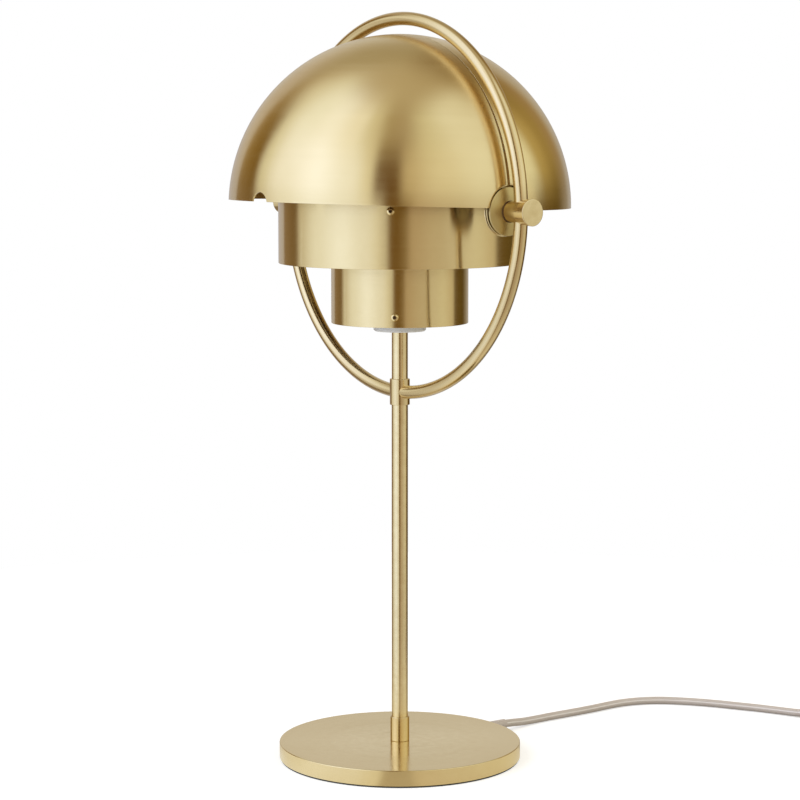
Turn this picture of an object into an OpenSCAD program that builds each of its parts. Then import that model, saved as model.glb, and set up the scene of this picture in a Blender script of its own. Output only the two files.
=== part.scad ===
// Table lamp with a dome of two turning quarter-sphere shades.
// A ring crosses the stem in a tee and carries the shades on two pivots.
// Two coaxial drums stand round the bulb, on spiders that the lamp holder clamps.
// Millimetres. The origin is the middle of the base on the table, +Z is up,
// the ring lies in the XZ plane and the shades turn about X.

/* [Base] */
// Outer radius of the base cover
base_r = 81.5; // [72:0.5:88]
// Height of the base from the table to its top
base_h = 11.5; // [11:0.5:18]
// Wall of the base cover
base_wall = 1.2; // [0.8:0.1:1.5]
// Chamfer round the top of the base cover
base_chamfer = 0.6; // [0.2:0.1:1]
// Thickness of the foot pad
pad_t = 1; // [0.6:0.1:1.6]
// How far the foot pad stays inside the cover's edge
pad_inset = 0.8; // [0.4:0.1:2]
// Depth of the nut recess in the weight
recess_depth = 6.5; // [6:0.5:7]
// Radius of the nut recess in the weight
recess_r = 16; // [15:0.5:22]

/* [Stem] */
// Outer radius of the lower stem tube
stem_r = 5.5; // [5.3:0.1:7]
// Outer radius of the upper stem tube
upper_stem_r = 5.4; // [5.2:0.1:6.5]
// Wall of both stem tubes
stem_wall = 1; // [0.8:0.1:1.2]
// Wall of the collar at the foot of the stem
collar_wall = 0.95; // [0.6:0.05:3]
// Height of the collar at the foot of the stem
collar_h = 16.7; // [12:0.1:30]
// Depth that the stem enters the foot collar
collar_seat = 8; // [5:0.5:9]
// Radius of the threaded nipple
nipple_r = 4.4; // [4.2:0.1:4.5]
// Bore radius of the threaded nipple
nipple_bore = 3.2; // [2.8:0.1:3.4]

/* [Tee and ring] */
// Height of the middle of the tee above the table
tee_z = 249.2; // [200:0.1:320]
// Wall of the tee round the lower stem
tee_wall = 1.2; // [0.8:0.1:3]
// Height of the tee collar
tee_h = 17.4; // [16.4:0.2:24]
// Depth that each stem tube enters the tee
tee_seat = 3.8; // [3:0.1:4]
// Distance from the shades' sphere to the middle of the ring's tube
ring_gap = 10; // [8:0.1:12]
// Outer radius of the ring's tube
ring_tube_r = 4.4; // [3.6:0.1:4.4]
// Wall of the ring's tube
ring_wall = 1; // [0.8:0.1:1.5]

/* [Shades] */
// Outer radius of both shades
shade_r = 113.2; // [110.5:0.1:115]
// Wall of both shades
shade_wall = 1; // [0.8:0.1:1.4]
// Distance of the front shade's edges from the axis planes
front_edge_gap = 2; // [1.8:0.1:4]
// Distance of the back shade's edges from the axis planes
back_edge_gap = 0.4; // [0.4:0.1:3]
// Turn of the front shade at rest, its lower edge raised
front_tilt = 1.8; // [0.5:0.1:1.8]
// Turn of the back shade at rest, its lower edge lowered
back_tilt = 0.8; // [0.8:0.1:1.5]
// Radius of the round notch that clears the stem
notch_r = 8; // [7.4:0.1:14]

/* [Pivots] */
// Depth of the front shade's ear below its sphere
ear_depth = 4.6; // [4:0.1:5.5]
// Radius of the pivot bolt
bolt_r = 3; // [2:0.1:3.5]
// Radius of the bolt's head
bolt_head_r = 5.5; // [5:0.1:8]
// Height of the bolt's head
bolt_head_h = 3; // [2:0.1:5]
// Depth of the bolt's thread in the knob
bolt_seat = 4.6; // [3:0.1:5]
// Radius of the brass pivot washer
washer_r = 15.2; // [12:0.1:18]
// Thickness of the brass pivot washer in its middle
washer_t = 3.2; // [2:0.1:3.4]
// Thickness of the brass pivot washer at its rim
washer_rim_t = 1.2; // [0.8:0.1:2]
// Gap round the washer in the front shade's seat
seat_gap = 0.4; // [0.3:0.1:1]
// Thickness of the friction disc under the brass washer
disc_t = 1.2; // [0.8:0.1:1.6]
// Thickness of the friction disc between the ears
between_t = 0.6; // [0.4:0.1:1.2]
// Radius of the friction discs
disc_r = 11; // [8:0.1:11.5]
// Thickness of the spring washer under the bolt's head
spring_t = 1; // [0.6:0.1:2]
// Radius of the knob where it meets the washer
knob_r_in = 6.5; // [6:0.1:8]
// Radius of the knob at its outer face
knob_r_out = 8.6; // [7.5:0.1:11]
// Length of the knob
knob_len = 21.4; // [19:0.1:28]

/* [Drums] */
// Outer radius of the long inner drum
inner_drum_r = 45.6; // [40:0.1:52]
// Height of the inner drum
inner_drum_h = 153.8; // [140:0.1:156]
// Outer radius of the outer drum
outer_drum_r = 80.5; // [72:0.1:84]
// Height of the outer drum
outer_drum_h = 74; // [50:0.1:84]
// Wall of both drums
drum_wall = 0.9; // [0.6:0.1:1.2]
// Direction of the first spider arm about Z
arm_turn = -42; // [-60:1:-30]
// Width of the spider arms
arm_w = 9; // [7:0.5:12]
// Thickness of the spiders' sheet
arm_t = 1.6; // [1.2:0.1:2]
// Height of the outer drum's tab
tab_h = 14; // [10:0.5:18]
// Height of the lower screws above the inner drum's lower edge
low_screw_rise = 6.9; // [6:0.1:9]
// Radius of the drum screws' heads
screw_head_r = 2.5; // [2:0.1:3]
// Height of the drum screws' heads
screw_head_h = 1.5; // [1:0.1:2]
// Radius of the drum screws
screw_r = 1.5; // [1.2:0.1:1.7]

/* [Holder and bulb] */
// Radius of the lamp holder's skirt
skirt_r = 17.5; // [16.5:0.1:20]
// How far the skirt stands out below the inner drum
skirt_drop = 5.5; // [3:0.1:9]
// Height of the skirt
skirt_h = 8; // [6:0.1:9]
// Radius of the lamp holder's body
holder_r = 14; // [12.5:0.1:15]
// Height of the lamp holder's body above the skirt
holder_h = 32; // [28:0.5:40]
// Bore radius of the lamp holder
holder_bore = 9.5; // [9:0.1:11]
// Height of the shade ring that clamps the spider
clamp_h = 5; // [3:0.1:8]
// Outer radius of the bulb's screw cap
cap_r = 6.9; // [6.5:0.1:7.2]
// Height of the bulb's screw cap
cap_h = 19; // [16:0.5:22]
// Radius of the bulb's globe
globe_r = 22.5; // [18:0.1:30]
// Length of the bulb from its contact to its top
bulb_len = 78; // [70:0.5:90]

/* [Cord] */
// Diameter of the cord
cord_d = 5.4; // [4.5:0.1:5.6]
// Direction in which the cord leaves the base, turned about Z from +Y
outlet_turn = 5.5; // [0:0.5:20]
// Length of the strain relief outside the base
relief_len = 20; // [14:0.5:20]
// Radius of the strain relief at the base
relief_r = 4.2; // [3.9:0.1:4.3]
// Gap between the turns of the stored coil
coil_gap = 0.5; // [0.45:0.05:0.8]
// Number of turns in the stored coil
coil_turns = 6.5; // [4.5:1:7.5]

/* [Hidden] */
$fn = 96;

// Finishes
BRASS = [0.78, 0.66, 0.4];
STEEL = [0.6, 0.6, 0.62];
IRON = [0.25, 0.25, 0.26];
WHITE = [0.93, 0.93, 0.92];
BLACK = [0.08, 0.08, 0.08];
TAUPE = [0.74, 0.68, 0.64];
GLASS = [0.97, 0.96, 0.92];

// Fits and small clearances
press = 0.02;      // between pieces that are fixed together
play = 0.05;       // on each side of a face that turns
run = 0.06;        // between a shaft and its bore
ease = 0.2;        // round a loose insert
eps = 0.01;        // past a face that is cut through

// Heights
ring_r = shade_r + ring_gap;
base_top = base_h;
weight_top = base_top - base_wall - press;
recess_top = pad_t + recess_depth;
pivot_z = tee_z + ring_r;
inner_low = pivot_z - inner_drum_h / 2;
inner_high = pivot_z + inner_drum_h / 2;
outer_low = pivot_z - outer_drum_h / 2;
holder_low = inner_low - skirt_drop;
spider_low = holder_low + skirt_h;
low_screw_z = inner_low + low_screw_rise;
tab_low = pivot_z - tab_h / 2;

// Positions along the pivot axis, from the middle outwards
ear_x = shade_r - ear_depth;
back_ear_x = ear_x - shade_wall - between_t;
washer_x = ear_x + disc_t;
knob_x = washer_x + washer_t;
inner_disc_t = between_t;
spring_x = back_ear_x - shade_wall - inner_disc_t - spring_t;
seat_slope = 12;   // degrees of the cone between a shade's sphere and its ear
nest_gap = 0.3;    // round the front shade's ear in the back shade's seat
ear_r = washer_r + seat_gap;
back_ear_r = ear_r + nest_gap;
notch_cut = 6;     // reach of the notch's cut inside and outside the sphere

tee_r = max(stem_r, upper_stem_r) + tee_wall;
web_r = nipple_bore;                      // wire passage through the tee
foot_r = stem_r + collar_wall;
inner_in = inner_drum_r - drum_wall;
outer_in = outer_drum_r - drum_wall;
arm_turns = [0, 120, 240];
lower_arm_z = spider_low + press;
lower_ring_r = skirt_r + 1;
band_r = inner_drum_r + press + arm_t;

// ---------- helpers ----------

// A tube round Z from z0 to z1
module tube_z(z0, z1, ro, ri) {
    translate([0, 0, z0]) difference() {
        cylinder(h = z1 - z0, r = ro);
        translate([0, 0, -1]) cylinder(h = z1 - z0 + 2, r = ri);
    }
}

// A tube round X from x0 to x1
module tube_x(x0, x1, ro, ri) {
    translate([x0, 0, 0]) rotate([0, 90, 0]) tube_z(0, x1 - x0, ro, ri);
}

// Children at the pivot on one side: 1 is the near side at +X, -1 the far side
module at_pivot(side) {
    translate([0, 0, pivot_z]) mirror([side < 0 ? 1 : 0, 0, 0]) children();
}

// Children at each of the three spider arms, with X pointing outwards
module at_arms() {
    for (turn = arm_turns) rotate([0, 0, arm_turn + turn]) children();
}

// A hole or shank that points outwards along X at height z
module radial_rod(z, x0, x1, r) {
    translate([x0, 0, z]) rotate([0, 90, 0]) cylinder(h = x1 - x0, r = r);
}

// The ring's torus with a tube of radius r, in the XZ plane
module ring_torus(r) {
    translate([0, 0, pivot_z]) rotate([90, 0, 0])
        rotate_extrude() translate([ring_r, 0]) circle(r = r, $fn = 48);
}

// ---------- base ----------

module foot_pad() {
    color(BLACK) cylinder(h = pad_t, r = base_r - pad_inset);
}

// The cord's channel through the weight and the cover, at height z from the table
outlet_z = pad_t + relief_r + 0.1;
anchor_x = 48;     // distance of the cord anchor from the middle
anchor_w = 22;     // cord anchor, across the cord
anchor_l = 9;      // cord anchor, along the cord
anchor_t = 1.4;    // cord anchor's bar, under the cord
anchor_top = outlet_z - cord_d / 2 - press;
anchor_screw_top = outlet_z + 2;

module at_outlet() {
    rotate([0, 0, outlet_turn]) children();
}

module at_anchor_screws() {
    for (side = [-1, 1]) translate([side * (anchor_w / 2 - 3.5), anchor_x, 0]) children();
}

module base_weight() {
    color(IRON) difference() {
        translate([0, 0, pad_t])
            cylinder(h = weight_top - pad_t, r = base_r - base_wall - ease);
        translate([0, 0, pad_t - 1]) cylinder(h = recess_depth + 1, r = recess_r);
        cylinder(h = base_h, r = nipple_r + press);
        at_outlet() translate([-relief_r - ease, recess_r - 4, pad_t - 1])
            cube([2 * (relief_r + ease), base_r, outlet_z - pad_t + 1 + relief_r]);
        at_outlet() translate([-anchor_w / 2 - ease, anchor_x - anchor_l / 2 - ease, pad_t - 1])
            cube([anchor_w + 2 * ease, anchor_l + 2 * ease, anchor_top - pad_t + 1 + press]);
        at_outlet() at_anchor_screws() cylinder(h = anchor_screw_top + 0.3, r = screw_r + press);
    }
}

module base_cover() {
    inside = base_r - base_wall;
    color(BRASS) difference() {
        rotate_extrude() polygon([
            [nipple_r + press, base_top], [base_r - base_chamfer, base_top],
            [base_r, base_top - base_chamfer], [base_r, pad_t], [inside, pad_t],
            [inside, base_top - base_wall], [nipple_r + press, base_top - base_wall]]);
        at_outlet() translate([0, inside - 3, outlet_z]) rotate([-90, 0, 0])
            cylinder(h = 10, r = relief_r + press);
    }
}

washer_h = 1;      // base washer
nut_h = 2.6;       // base nut
nut_gap = 0.1;     // between the nut and the washer

module base_washer() {
    color(STEEL) tube_z(recess_top - washer_h - press, recess_top - press, recess_r - 4,
        nipple_r + press);
}

module base_nut() {
    z1 = recess_top - washer_h - 2 * press;
    color(STEEL) difference() {
        translate([0, 0, z1 - nut_h]) cylinder(h = nut_h, r = 8, $fn = 6);
        cylinder(h = base_h, r = nipple_r + press);
    }
}

module stem_nipple() {
    z0 = recess_top - washer_h - nut_h - press;
    color(STEEL) tube_z(z0, base_top + collar_h - collar_seat, nipple_r, nipple_bore);
}

module foot_collar() {
    bevel = 0.5;
    top = base_top + collar_h;
    color(BRASS) difference() {
        rotate_extrude() polygon([
            [nipple_r + press, base_top + press], [foot_r - bevel, base_top + press],
            [foot_r, base_top + bevel], [foot_r, top - bevel], [foot_r - bevel, top],
            [nipple_r + press, top]]);
        translate([0, 0, top - collar_seat]) cylinder(h = collar_seat + 1, r = stem_r + press);
    }
}

// ---------- stem, tee and ring ----------

module stem_tube() {
    color(BRASS) tube_z(base_top + collar_h - collar_seat + press,
        tee_z - tee_h / 2 + tee_seat, stem_r, stem_r - stem_wall);
}

module upper_stem() {
    color(BRASS) tube_z(tee_z + tee_h / 2 - tee_seat, holder_low + skirt_h,
        upper_stem_r, upper_stem_r - stem_wall);
}

module tee_collar() {
    bevel = 0.3;
    low = tee_z - tee_h / 2;
    high = tee_z + tee_h / 2;
    color(BRASS) difference() {
        rotate_extrude() polygon([
            [web_r, low], [tee_r - bevel, low], [tee_r, low + bevel],
            [tee_r, high - bevel], [tee_r - bevel, high], [web_r, high]]);
        translate([0, 0, low - 1]) cylinder(h = tee_seat + 1 + press, r = stem_r + press);
        translate([0, 0, high - tee_seat - press])
            cylinder(h = tee_seat + 2, r = upper_stem_r + press);
        difference() {
            ring_torus(ring_tube_r + press);
            cylinder(h = pivot_z, r = web_r + ring_stop);
        }
    }
}

ring_stop = 0.8;   // wall left between the wire passage and the ring's ends

module ring() {
    color(BRASS) difference() {
        ring_torus(ring_tube_r);
        ring_torus(ring_tube_r - ring_wall);
        cylinder(h = pivot_z, r = web_r + ring_stop + press);
    }
}

// ---------- pivots ----------

module knob(side) {
    chamfer = 0.5;
    end = knob_x + knob_len;
    color(BRASS) difference() {
        at_pivot(side) translate([knob_x, 0, 0]) rotate([0, 90, 0]) rotate_extrude() polygon([
            [0, 0], [knob_r_in, 0], [knob_r_out, knob_len - chamfer],
            [knob_r_out - chamfer, knob_len], [0, knob_len]]);
        ring_torus(ring_tube_r + press);
        at_pivot(side) translate([knob_x - 1, 0, 0]) rotate([0, 90, 0])
            cylinder(h = bolt_seat + 1, r = bolt_r + press);
    }
}

// A domed washer, flat where the knob meets it
module washer(side) {
    round = 0.4;
    steps = 5;
    flat_r = knob_r_in + 0.5;
    outside = washer_r - round;
    crown = [for (i = [0 : steps]) let(t = 1 - i / steps)
        [flat_r + (outside - flat_r) * t, washer_t - (washer_t - washer_rim_t) * t * t]];
    color(BRASS) at_pivot(side) translate([washer_x, 0, 0]) rotate([0, 90, 0])
        rotate_extrude() polygon(concat([[bolt_r + press, 0], [washer_r - 0.3, 0],
            [washer_r, 0.3], [washer_r, washer_rim_t - round]], crown,
            [[bolt_r + press, washer_t]]));
}

// Three thin discs: under the brass washer, between the ears, and inside them
module friction_discs(side) {
    color(BLACK) at_pivot(side) {
        tube_x(ear_x + play, washer_x - press, disc_r, bolt_r + press);
        tube_x(back_ear_x + play, ear_x - shade_wall - play, disc_r, bolt_r + press);
        tube_x(spring_x + spring_t + press, back_ear_x - shade_wall - play, disc_r,
            bolt_r + press);
    }
}

module spring_washer(side) {
    color(STEEL) at_pivot(side) tube_x(spring_x + press, spring_x + spring_t, disc_r - 2,
        bolt_r + press);
}

module pivot_bolt(side) {
    socket = 1.6;
    color(STEEL) at_pivot(side) difference() {
        union() {
            radial_rod(0, spring_x - eps, knob_x + bolt_seat - ease, bolt_r);
            radial_rod(0, spring_x - bolt_head_h, spring_x, bolt_head_r);
        }
        translate([spring_x - bolt_head_h - 1, 0, 0]) rotate([0, 90, 0])
            cylinder(h = socket + 1, r = bolt_head_r / 2, $fn = 6);
    }
}

// ---------- shades ----------

// The pocket of a pivot seat: a cone from the ear at distance x outwards
module seat_pocket(x, r) {
    reach = shade_r - x + 2;
    translate([x, 0, 0]) rotate([0, 90, 0])
        cylinder(h = reach, r1 = r, r2 = r + reach * tan(seat_slope));
}

// A quarter sphere on the -Y side of the axis, with a round ear of radius r at each pole
module quarter_shade(edge_gap, x, r) {
    inner_r = r + shade_wall * tan(45 - seat_slope / 2);
    difference() {
        union() {
            intersection() {
                difference() {
                    sphere(r = shade_r);
                    for (side = [0, 1]) mirror([side, 0, 0]) seat_pocket(x, r);
                    difference() {
                        sphere(r = shade_r - shade_wall);
                        for (side = [0, 1]) mirror([side, 0, 0])
                            seat_pocket(x - shade_wall, inner_r);
                    }
                }
                translate([-shade_r - 1, -shade_r - 1, edge_gap])
                    cube([2 * shade_r + 2, shade_r + 1 - edge_gap, shade_r + 1]);
            }
            for (side = [0, 1]) mirror([side, 0, 0]) radial_rod(0, x - shade_wall, x, r);
        }
        rotate([0, 90, 0]) translate([0, 0, -shade_r])
            cylinder(h = 2 * shade_r, r = bolt_r + run);
        translate([0, notch_cut - shade_r, 0]) rotate([90, 0, 0])
            cylinder(h = 2 * notch_cut, r = notch_r);
    }
}

module front_shade() {
    color(BRASS) translate([0, 0, pivot_z]) rotate([-front_tilt, 0, 0])
        quarter_shade(front_edge_gap, ear_x, ear_r);
}

module back_shade() {
    color(BRASS) translate([0, 0, pivot_z]) rotate([-back_tilt, 0, 0]) mirror([0, 1, 0])
        quarter_shade(back_edge_gap, back_ear_x, back_ear_r);
}

// ---------- drums and spiders ----------

module drum_holes(z, r) {
    at_arms() radial_rod(z, r - 8, r + 4, screw_r + press);
}

module inner_drum() {
    color(BRASS) difference() {
        tube_z(inner_low, inner_high, inner_drum_r, inner_in);
        drum_holes(low_screw_z, inner_drum_r);
        drum_holes(pivot_z, inner_drum_r);
    }
}

module outer_drum() {
    color(BRASS) difference() {
        tube_z(outer_low, outer_low + outer_drum_h, outer_drum_r, outer_in);
        drum_holes(pivot_z, outer_drum_r);
    }
}

// A curved tab against the inside of a wall of radius r
module wall_tab(z0, z1, r) {
    intersection() {
        tube_z(z0, z1, r - press, r - press - arm_t);
        translate([0, -arm_w / 2, z0 - 1]) cube([r + 1, arm_w, z1 - z0 + 2]);
    }
}

// A flat arm from a round part of radius r0 out to a wall of radius r
module flat_arm(z0, r0, r) {
    intersection() {
        tube_z(z0, z0 + arm_t, r - press, r0 + press);
        translate([0, -arm_w / 2, z0 - 1]) cube([r + 1, arm_w, arm_t + 2]);
    }
}

// The lower spider's ring lies on the holder's skirt
module lower_ring() {
    color(STEEL) tube_z(lower_arm_z, lower_arm_z + arm_t, lower_ring_r, holder_r + ease);
}

module lower_arms() {
    color(STEEL) difference() {
        at_arms() {
            flat_arm(lower_arm_z, lower_ring_r, inner_in);
            wall_tab(lower_arm_z, low_screw_z + screw_head_r + 2, inner_in);
        }
        drum_holes(low_screw_z, inner_drum_r);
    }
}

// The middle spider's band grips the inner drum
module middle_band() {
    color(STEEL) difference() {
        tube_z(tab_low, tab_low + tab_h, band_r, inner_drum_r + press);
        drum_holes(pivot_z, inner_drum_r);
    }
}

module middle_arms() {
    color(STEEL) difference() {
        at_arms() {
            flat_arm(tab_low, band_r, outer_in);
            wall_tab(tab_low, tab_low + tab_h, outer_in);
        }
        drum_holes(pivot_z, outer_drum_r);
    }
}

// A button-head screw: its head stands on a wall of radius r at height z
module drum_screw(z, r, shank) {
    socket_r = 1.1;
    h = screw_head_h;
    translate([r, 0, z]) rotate([0, 90, 0]) difference() {
        rotate_extrude() polygon([
            [0, -shank], [screw_r, -shank], [screw_r, 0], [screw_head_r, 0],
            [screw_head_r, 0.4 * h], [0.85 * screw_head_r, 0.8 * h],
            [0.55 * screw_head_r, h], [0, h]]);
        translate([0, 0, 0.3 * h]) cylinder(h = h, r = socket_r, $fn = 6);
    }
}

module inner_drum_screws() {
    color(BRASS) at_arms() drum_screw(low_screw_z, inner_drum_r + press, drum_wall + arm_t + 2);
}

module outer_drum_screws() {
    color(BRASS) at_arms() drum_screw(pivot_z, outer_drum_r + press, drum_wall + arm_t + 2);
}

// Rivets through the inner drum and the middle spider's band
module spider_rivets() {
    head_t = 0.8;
    outside = inner_drum_r + press + arm_t + press;
    inside = inner_in - 0.1;
    color(STEEL) at_arms() {
        radial_rod(pivot_z, inside - eps, outside + eps, screw_r);
        radial_rod(pivot_z, inside - head_t, inside, screw_head_r);
        radial_rod(pivot_z, outside, outside + head_t, screw_head_r);
    }
}

// ---------- lamp holder and bulb ----------

floor_t = 5;       // floor of the holder above the stem
shell_t = 0.4;     // sheet of the socket's screw shell
shell_in = cap_r + 0.15;
holder_floor = holder_low + skirt_h + floor_t;
holder_top = holder_low + skirt_h + holder_h;
cap_low = holder_floor + 3;
cap_top = cap_low + cap_h;
globe_z = cap_low - 2 + bulb_len - globe_r;

module lamp_holder() {
    bevel = 0.8;
    color(WHITE) difference() {
        rotate_extrude() polygon([
            [web_r, holder_low], [skirt_r - bevel, holder_low], [skirt_r, holder_low + bevel],
            [skirt_r, spider_low], [holder_r, spider_low], [holder_r, holder_top],
            [holder_bore, holder_top], [holder_bore, holder_floor], [web_r, holder_floor]]);
        translate([0, 0, holder_low - 1])
            cylinder(h = skirt_h + 1 + press, r = upper_stem_r + press);
    }
}

module clamp_ring() {
    z0 = spider_low + arm_t + 2 * press;
    color(WHITE) tube_z(z0, z0 + clamp_h, skirt_r, holder_r + press);
}

module socket_shell() {
    flange_top = holder_floor + shell_t;
    color(BRASS) rotate_extrude() polygon([
        [web_r, holder_floor + press], [holder_bore - press, holder_floor + press],
        [holder_bore - press, flange_top], [shell_in + shell_t, flange_top],
        [shell_in + shell_t, cap_top - 1], [shell_in, cap_top - 1],
        [shell_in, flange_top], [web_r, flange_top]]);
}

module bulb_cap() {
    tip_r = 2.4;
    step = 3;
    color(STEEL) rotate_extrude() polygon([
        [0, cap_low - 2], [tip_r, cap_low - 2], [tip_r, cap_low - 1], [cap_r - 2, cap_low],
        [cap_r, cap_low + step], [cap_r, cap_top], [0, cap_top]]);
}

module bulb_globe() {
    neck_r = cap_r + 2;
    glass_t = 0.8;
    lift = cap_top + press;
    neck_top = max(lift, holder_top) + 2;
    shoulder = globe_z - globe_r * 0.6;
    color(GLASS) difference() {
        union() {
            translate([0, 0, globe_z]) sphere(r = globe_r);
            translate([0, 0, lift]) cylinder(h = neck_top - lift, r = neck_r);
            translate([0, 0, neck_top])
                cylinder(h = shoulder - neck_top, r1 = neck_r, r2 = globe_r * 0.8);
        }
        translate([0, 0, globe_z]) sphere(r = globe_r - glass_t);
        translate([0, 0, lift - 1]) cylinder(h = neck_top - lift + 1, r = neck_r - glass_t);
        translate([0, 0, neck_top]) cylinder(h = shoulder - neck_top,
            r1 = neck_r - glass_t, r2 = globe_r * 0.8 - glass_t);
    }
}

// ---------- wires and cord inside the lamp ----------

wire_r = 0.9;      // each insulated conductor
wire_gap = 0.3;    // between the two conductors
wire_bend = 5;     // bend radius below the nipple
wire_low = pad_t + wire_r + 0.1;
wire_start = anchor_x - anchor_l / 2 - 8;

// Two conductors from the end of the cord, under the nut and up the stem
module stem_wires() {
    color(BLACK) at_outlet() for (side = [-1, 1])
        translate([side * (wire_r + wire_gap / 2), 0, 0]) {
            translate([0, wire_bend, wire_low]) rotate([-90, 0, 0])
                cylinder(h = wire_start - wire_bend, r = wire_r, $fn = 24);
            translate([0, wire_bend, wire_low]) sphere(r = wire_r + press, $fn = 24);
            translate([0, 0, wire_low + wire_bend]) sphere(r = wire_r + press, $fn = 24);
            translate([0, wire_bend, wire_low + wire_bend]) rotate([0, 90, 0])
                rotate_extrude(angle = -90) translate([wire_bend, 0]) circle(r = wire_r, $fn = 24);
            translate([0, 0, wire_low + wire_bend])
                cylinder(h = holder_floor - wire_low - wire_bend - 1, r = wire_r, $fn = 24);
        }
}

module cord_anchor() {
    color(STEEL) at_outlet() difference() {
        translate([-anchor_w / 2, anchor_x - anchor_l / 2, anchor_top - anchor_t])
            cube([anchor_w, anchor_l, anchor_t]);
        at_anchor_screws() translate([0, 0, anchor_top - anchor_t]) anchor_screw(press);
    }
}

// A countersunk screw from its head upwards, larger all round by d
module anchor_screw(d) {
    sink = screw_head_r - screw_r;
    translate([0, 0, -d]) cylinder(h = sink + d, r1 = screw_head_r + 2 * d, r2 = screw_r + d);
    cylinder(h = anchor_screw_top - anchor_top + anchor_t, r = screw_r + d);
}

module anchor_screws() {
    color(STEEL) at_outlet() at_anchor_screws()
        translate([0, 0, anchor_top - anchor_t]) anchor_screw(0);
}

module base_lead() {
    color(TAUPE) at_outlet() translate([0, wire_start, outlet_z]) rotate([-90, 0, 0])
        cylinder(h = base_r - base_wall - 4 - wire_start, r = cord_d / 2, $fn = 48);
}

// Tapered sleeve round the cord, with a flange behind the cover's wall
module strain_relief() {
    inside = base_r - base_wall - 4;
    tip_r = cord_d / 2 + 0.7;
    color(TAUPE) at_outlet() translate([0, inside, outlet_z]) rotate([-90, 0, 0])
        rotate_extrude() polygon([
            [0, press], [relief_r - 0.1, press], [relief_r - 0.1, base_wall + 4.5],
            [tip_r, base_wall + 4 + relief_len], [0, base_wall + 4 + relief_len]]);
}

// ---------- free cord ----------

cord_r = cord_d / 2;
tube_sides = 10;
coil_sides = 6;
coil_rings = 24;   // rings in one turn

// Where the pieces on the cord lie
switch_at = [152, 300];    // middle of the switch
switch_half = 34;          // half the switch with its sleeves
switch_cord_z = 6;         // height of the cord in the switch
tie_t = 0.8;               // thickness of the coil's tie
coil_at = [262, 259.1];    // middle of the coil
coil_lift = tie_t + 0.1;   // the tie passes under the coil
plug_at = [196, 218];      // front of the plug's body, towards -X the pins
plug_z = 7;                // height of the cord in the plug

relief_tip = [-(base_r + relief_len) * sin(outlet_turn),
    (base_r + relief_len) * cos(outlet_turn), outlet_z];

// The route from the strain relief to the switch, in round numbers
lead_route = concat([relief_tip, relief_tip + [-0.6, 5.97, -0.4]], [
    [-12.5, 120, 3.4], [-14, 134, 2.7], [-14, 148, 2.7], [-13.5, 162, 2.7], [-13, 176, 2.7],
    [-13, 190, 2.7], [-13.5, 204, 2.7], [-13, 218, 2.7], [-9, 232, 2.7], [-2, 244, 2.7],
    [8, 254, 2.7], [20, 263, 2.7], [33, 271, 2.7], [47, 278, 2.7], [61, 285, 2.7],
    [75, 291, 2.7], [89, 296, 3], [101, 299, 4.4]],
    [[switch_at[0] - switch_half - 6, switch_at[1], switch_cord_z],
    [switch_at[0] - switch_half, switch_at[1], switch_cord_z]]);

pitch = cord_d + coil_gap;
coil_mid = coil_turns / 2;
coil_core_r = 21.7;        // radius at the middle of the turns, where the coil reverses
coil_outer_r = coil_core_r + pitch * coil_mid;
coil_low = cord_r + coil_lift;

// Radius and height of the coil after t turns: in along the floor, up, and out again
function coil_radius(t) = coil_core_r + pitch * abs(t - coil_mid);
function coil_rise(t) = min(1, max(0, (t - coil_mid) * 2 + 0.5));
function coil_point(t) = let(a = 90 - 360 * t, r = coil_radius(t))
    [coil_at[0] + r * cos(a), coil_at[1] + r * sin(a), coil_low + pitch * coil_rise(t)];

coil_steps = coil_turns * coil_rings;
coil_start = coil_point(0);
coil_stop = coil_point(coil_turns);
coil_route = concat([coil_start - [cord_d, 0, 0]],
    [for (i = [0 : coil_steps]) coil_point(i / coil_rings)],
    [coil_stop - [cord_d, 0, 0]]);

tail_route = [[switch_at[0] + switch_half, switch_at[1], switch_cord_z],
    [switch_at[0] + switch_half + 6, switch_at[1], switch_cord_z],
    [204, 300, 4.6], [222, 300, 2.7], [coil_start[0] - cord_d - 12, 300, coil_low],
    [coil_start[0] - cord_d - 6, coil_start[1], coil_low],
    coil_start - [cord_d, 0, 0]];

end_route = [coil_stop - [cord_d, 0, 0], coil_stop - [cord_d + 6, 0, 0],
    [coil_stop[0] - cord_d - 16, 218.1, 7.6], [plug_at[0] + 32, plug_at[1], plug_z],
    [plug_at[0] + 26, plug_at[1], plug_z]];

// Least distance between points of the coil that lie more than half a turn apart
function coil_clear(i) = min([for (j = [i + coil_rings / 2 : coil_steps])
    norm(coil_point(i / coil_rings) - coil_point(j / coil_rings))]);
echo(coil_gap_to_itself = min([for (i = [0 : coil_steps - coil_rings / 2]) coil_clear(i)]) - cord_d);

// Unit direction of a route at point i
function along(p, i) = let(d = p[min(i + 1, len(p) - 1)] - p[max(i - 1, 0)]) d / norm(d);
// Ring of points round a route at point i, with one corner direction level
function ring_at(p, i, r, sides) = let(t = along(p, i),
    s = cross(t, [0, 0, 1]) / norm(cross(t, [0, 0, 1])), u = cross(s, t))
    [for (k = [0 : sides - 1]) let(a = 360 * (k + 0.5) / sides)
        p[i] + r * (cos(a) * s + sin(a) * u)];

// A tube along a route: its rings joined by triangles, and a fan on each end
module route_tube(p, r, sides) {
    n = len(p);
    points = [for (i = [0 : n - 1]) each ring_at(p, i, r, sides)];
    walls = [for (i = [0 : n - 2], k = [0 : sides - 1])
        let(a = i * sides + k, b = i * sides + (k + 1) % sides)
        each [[a, b, b + sides], [a, b + sides, a + sides]]];
    low = [for (k = [1 : sides - 2]) [0, k + 1, k]];
    last = (n - 1) * sides;
    high = [for (k = [1 : sides - 2]) [last, last + k, last + k + 1]];
    polyhedron(points = points, faces = concat(walls, low, high));
}

module cord_lead() {
    color(TAUPE) route_tube(lead_route, cord_r, tube_sides);
}

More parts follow.
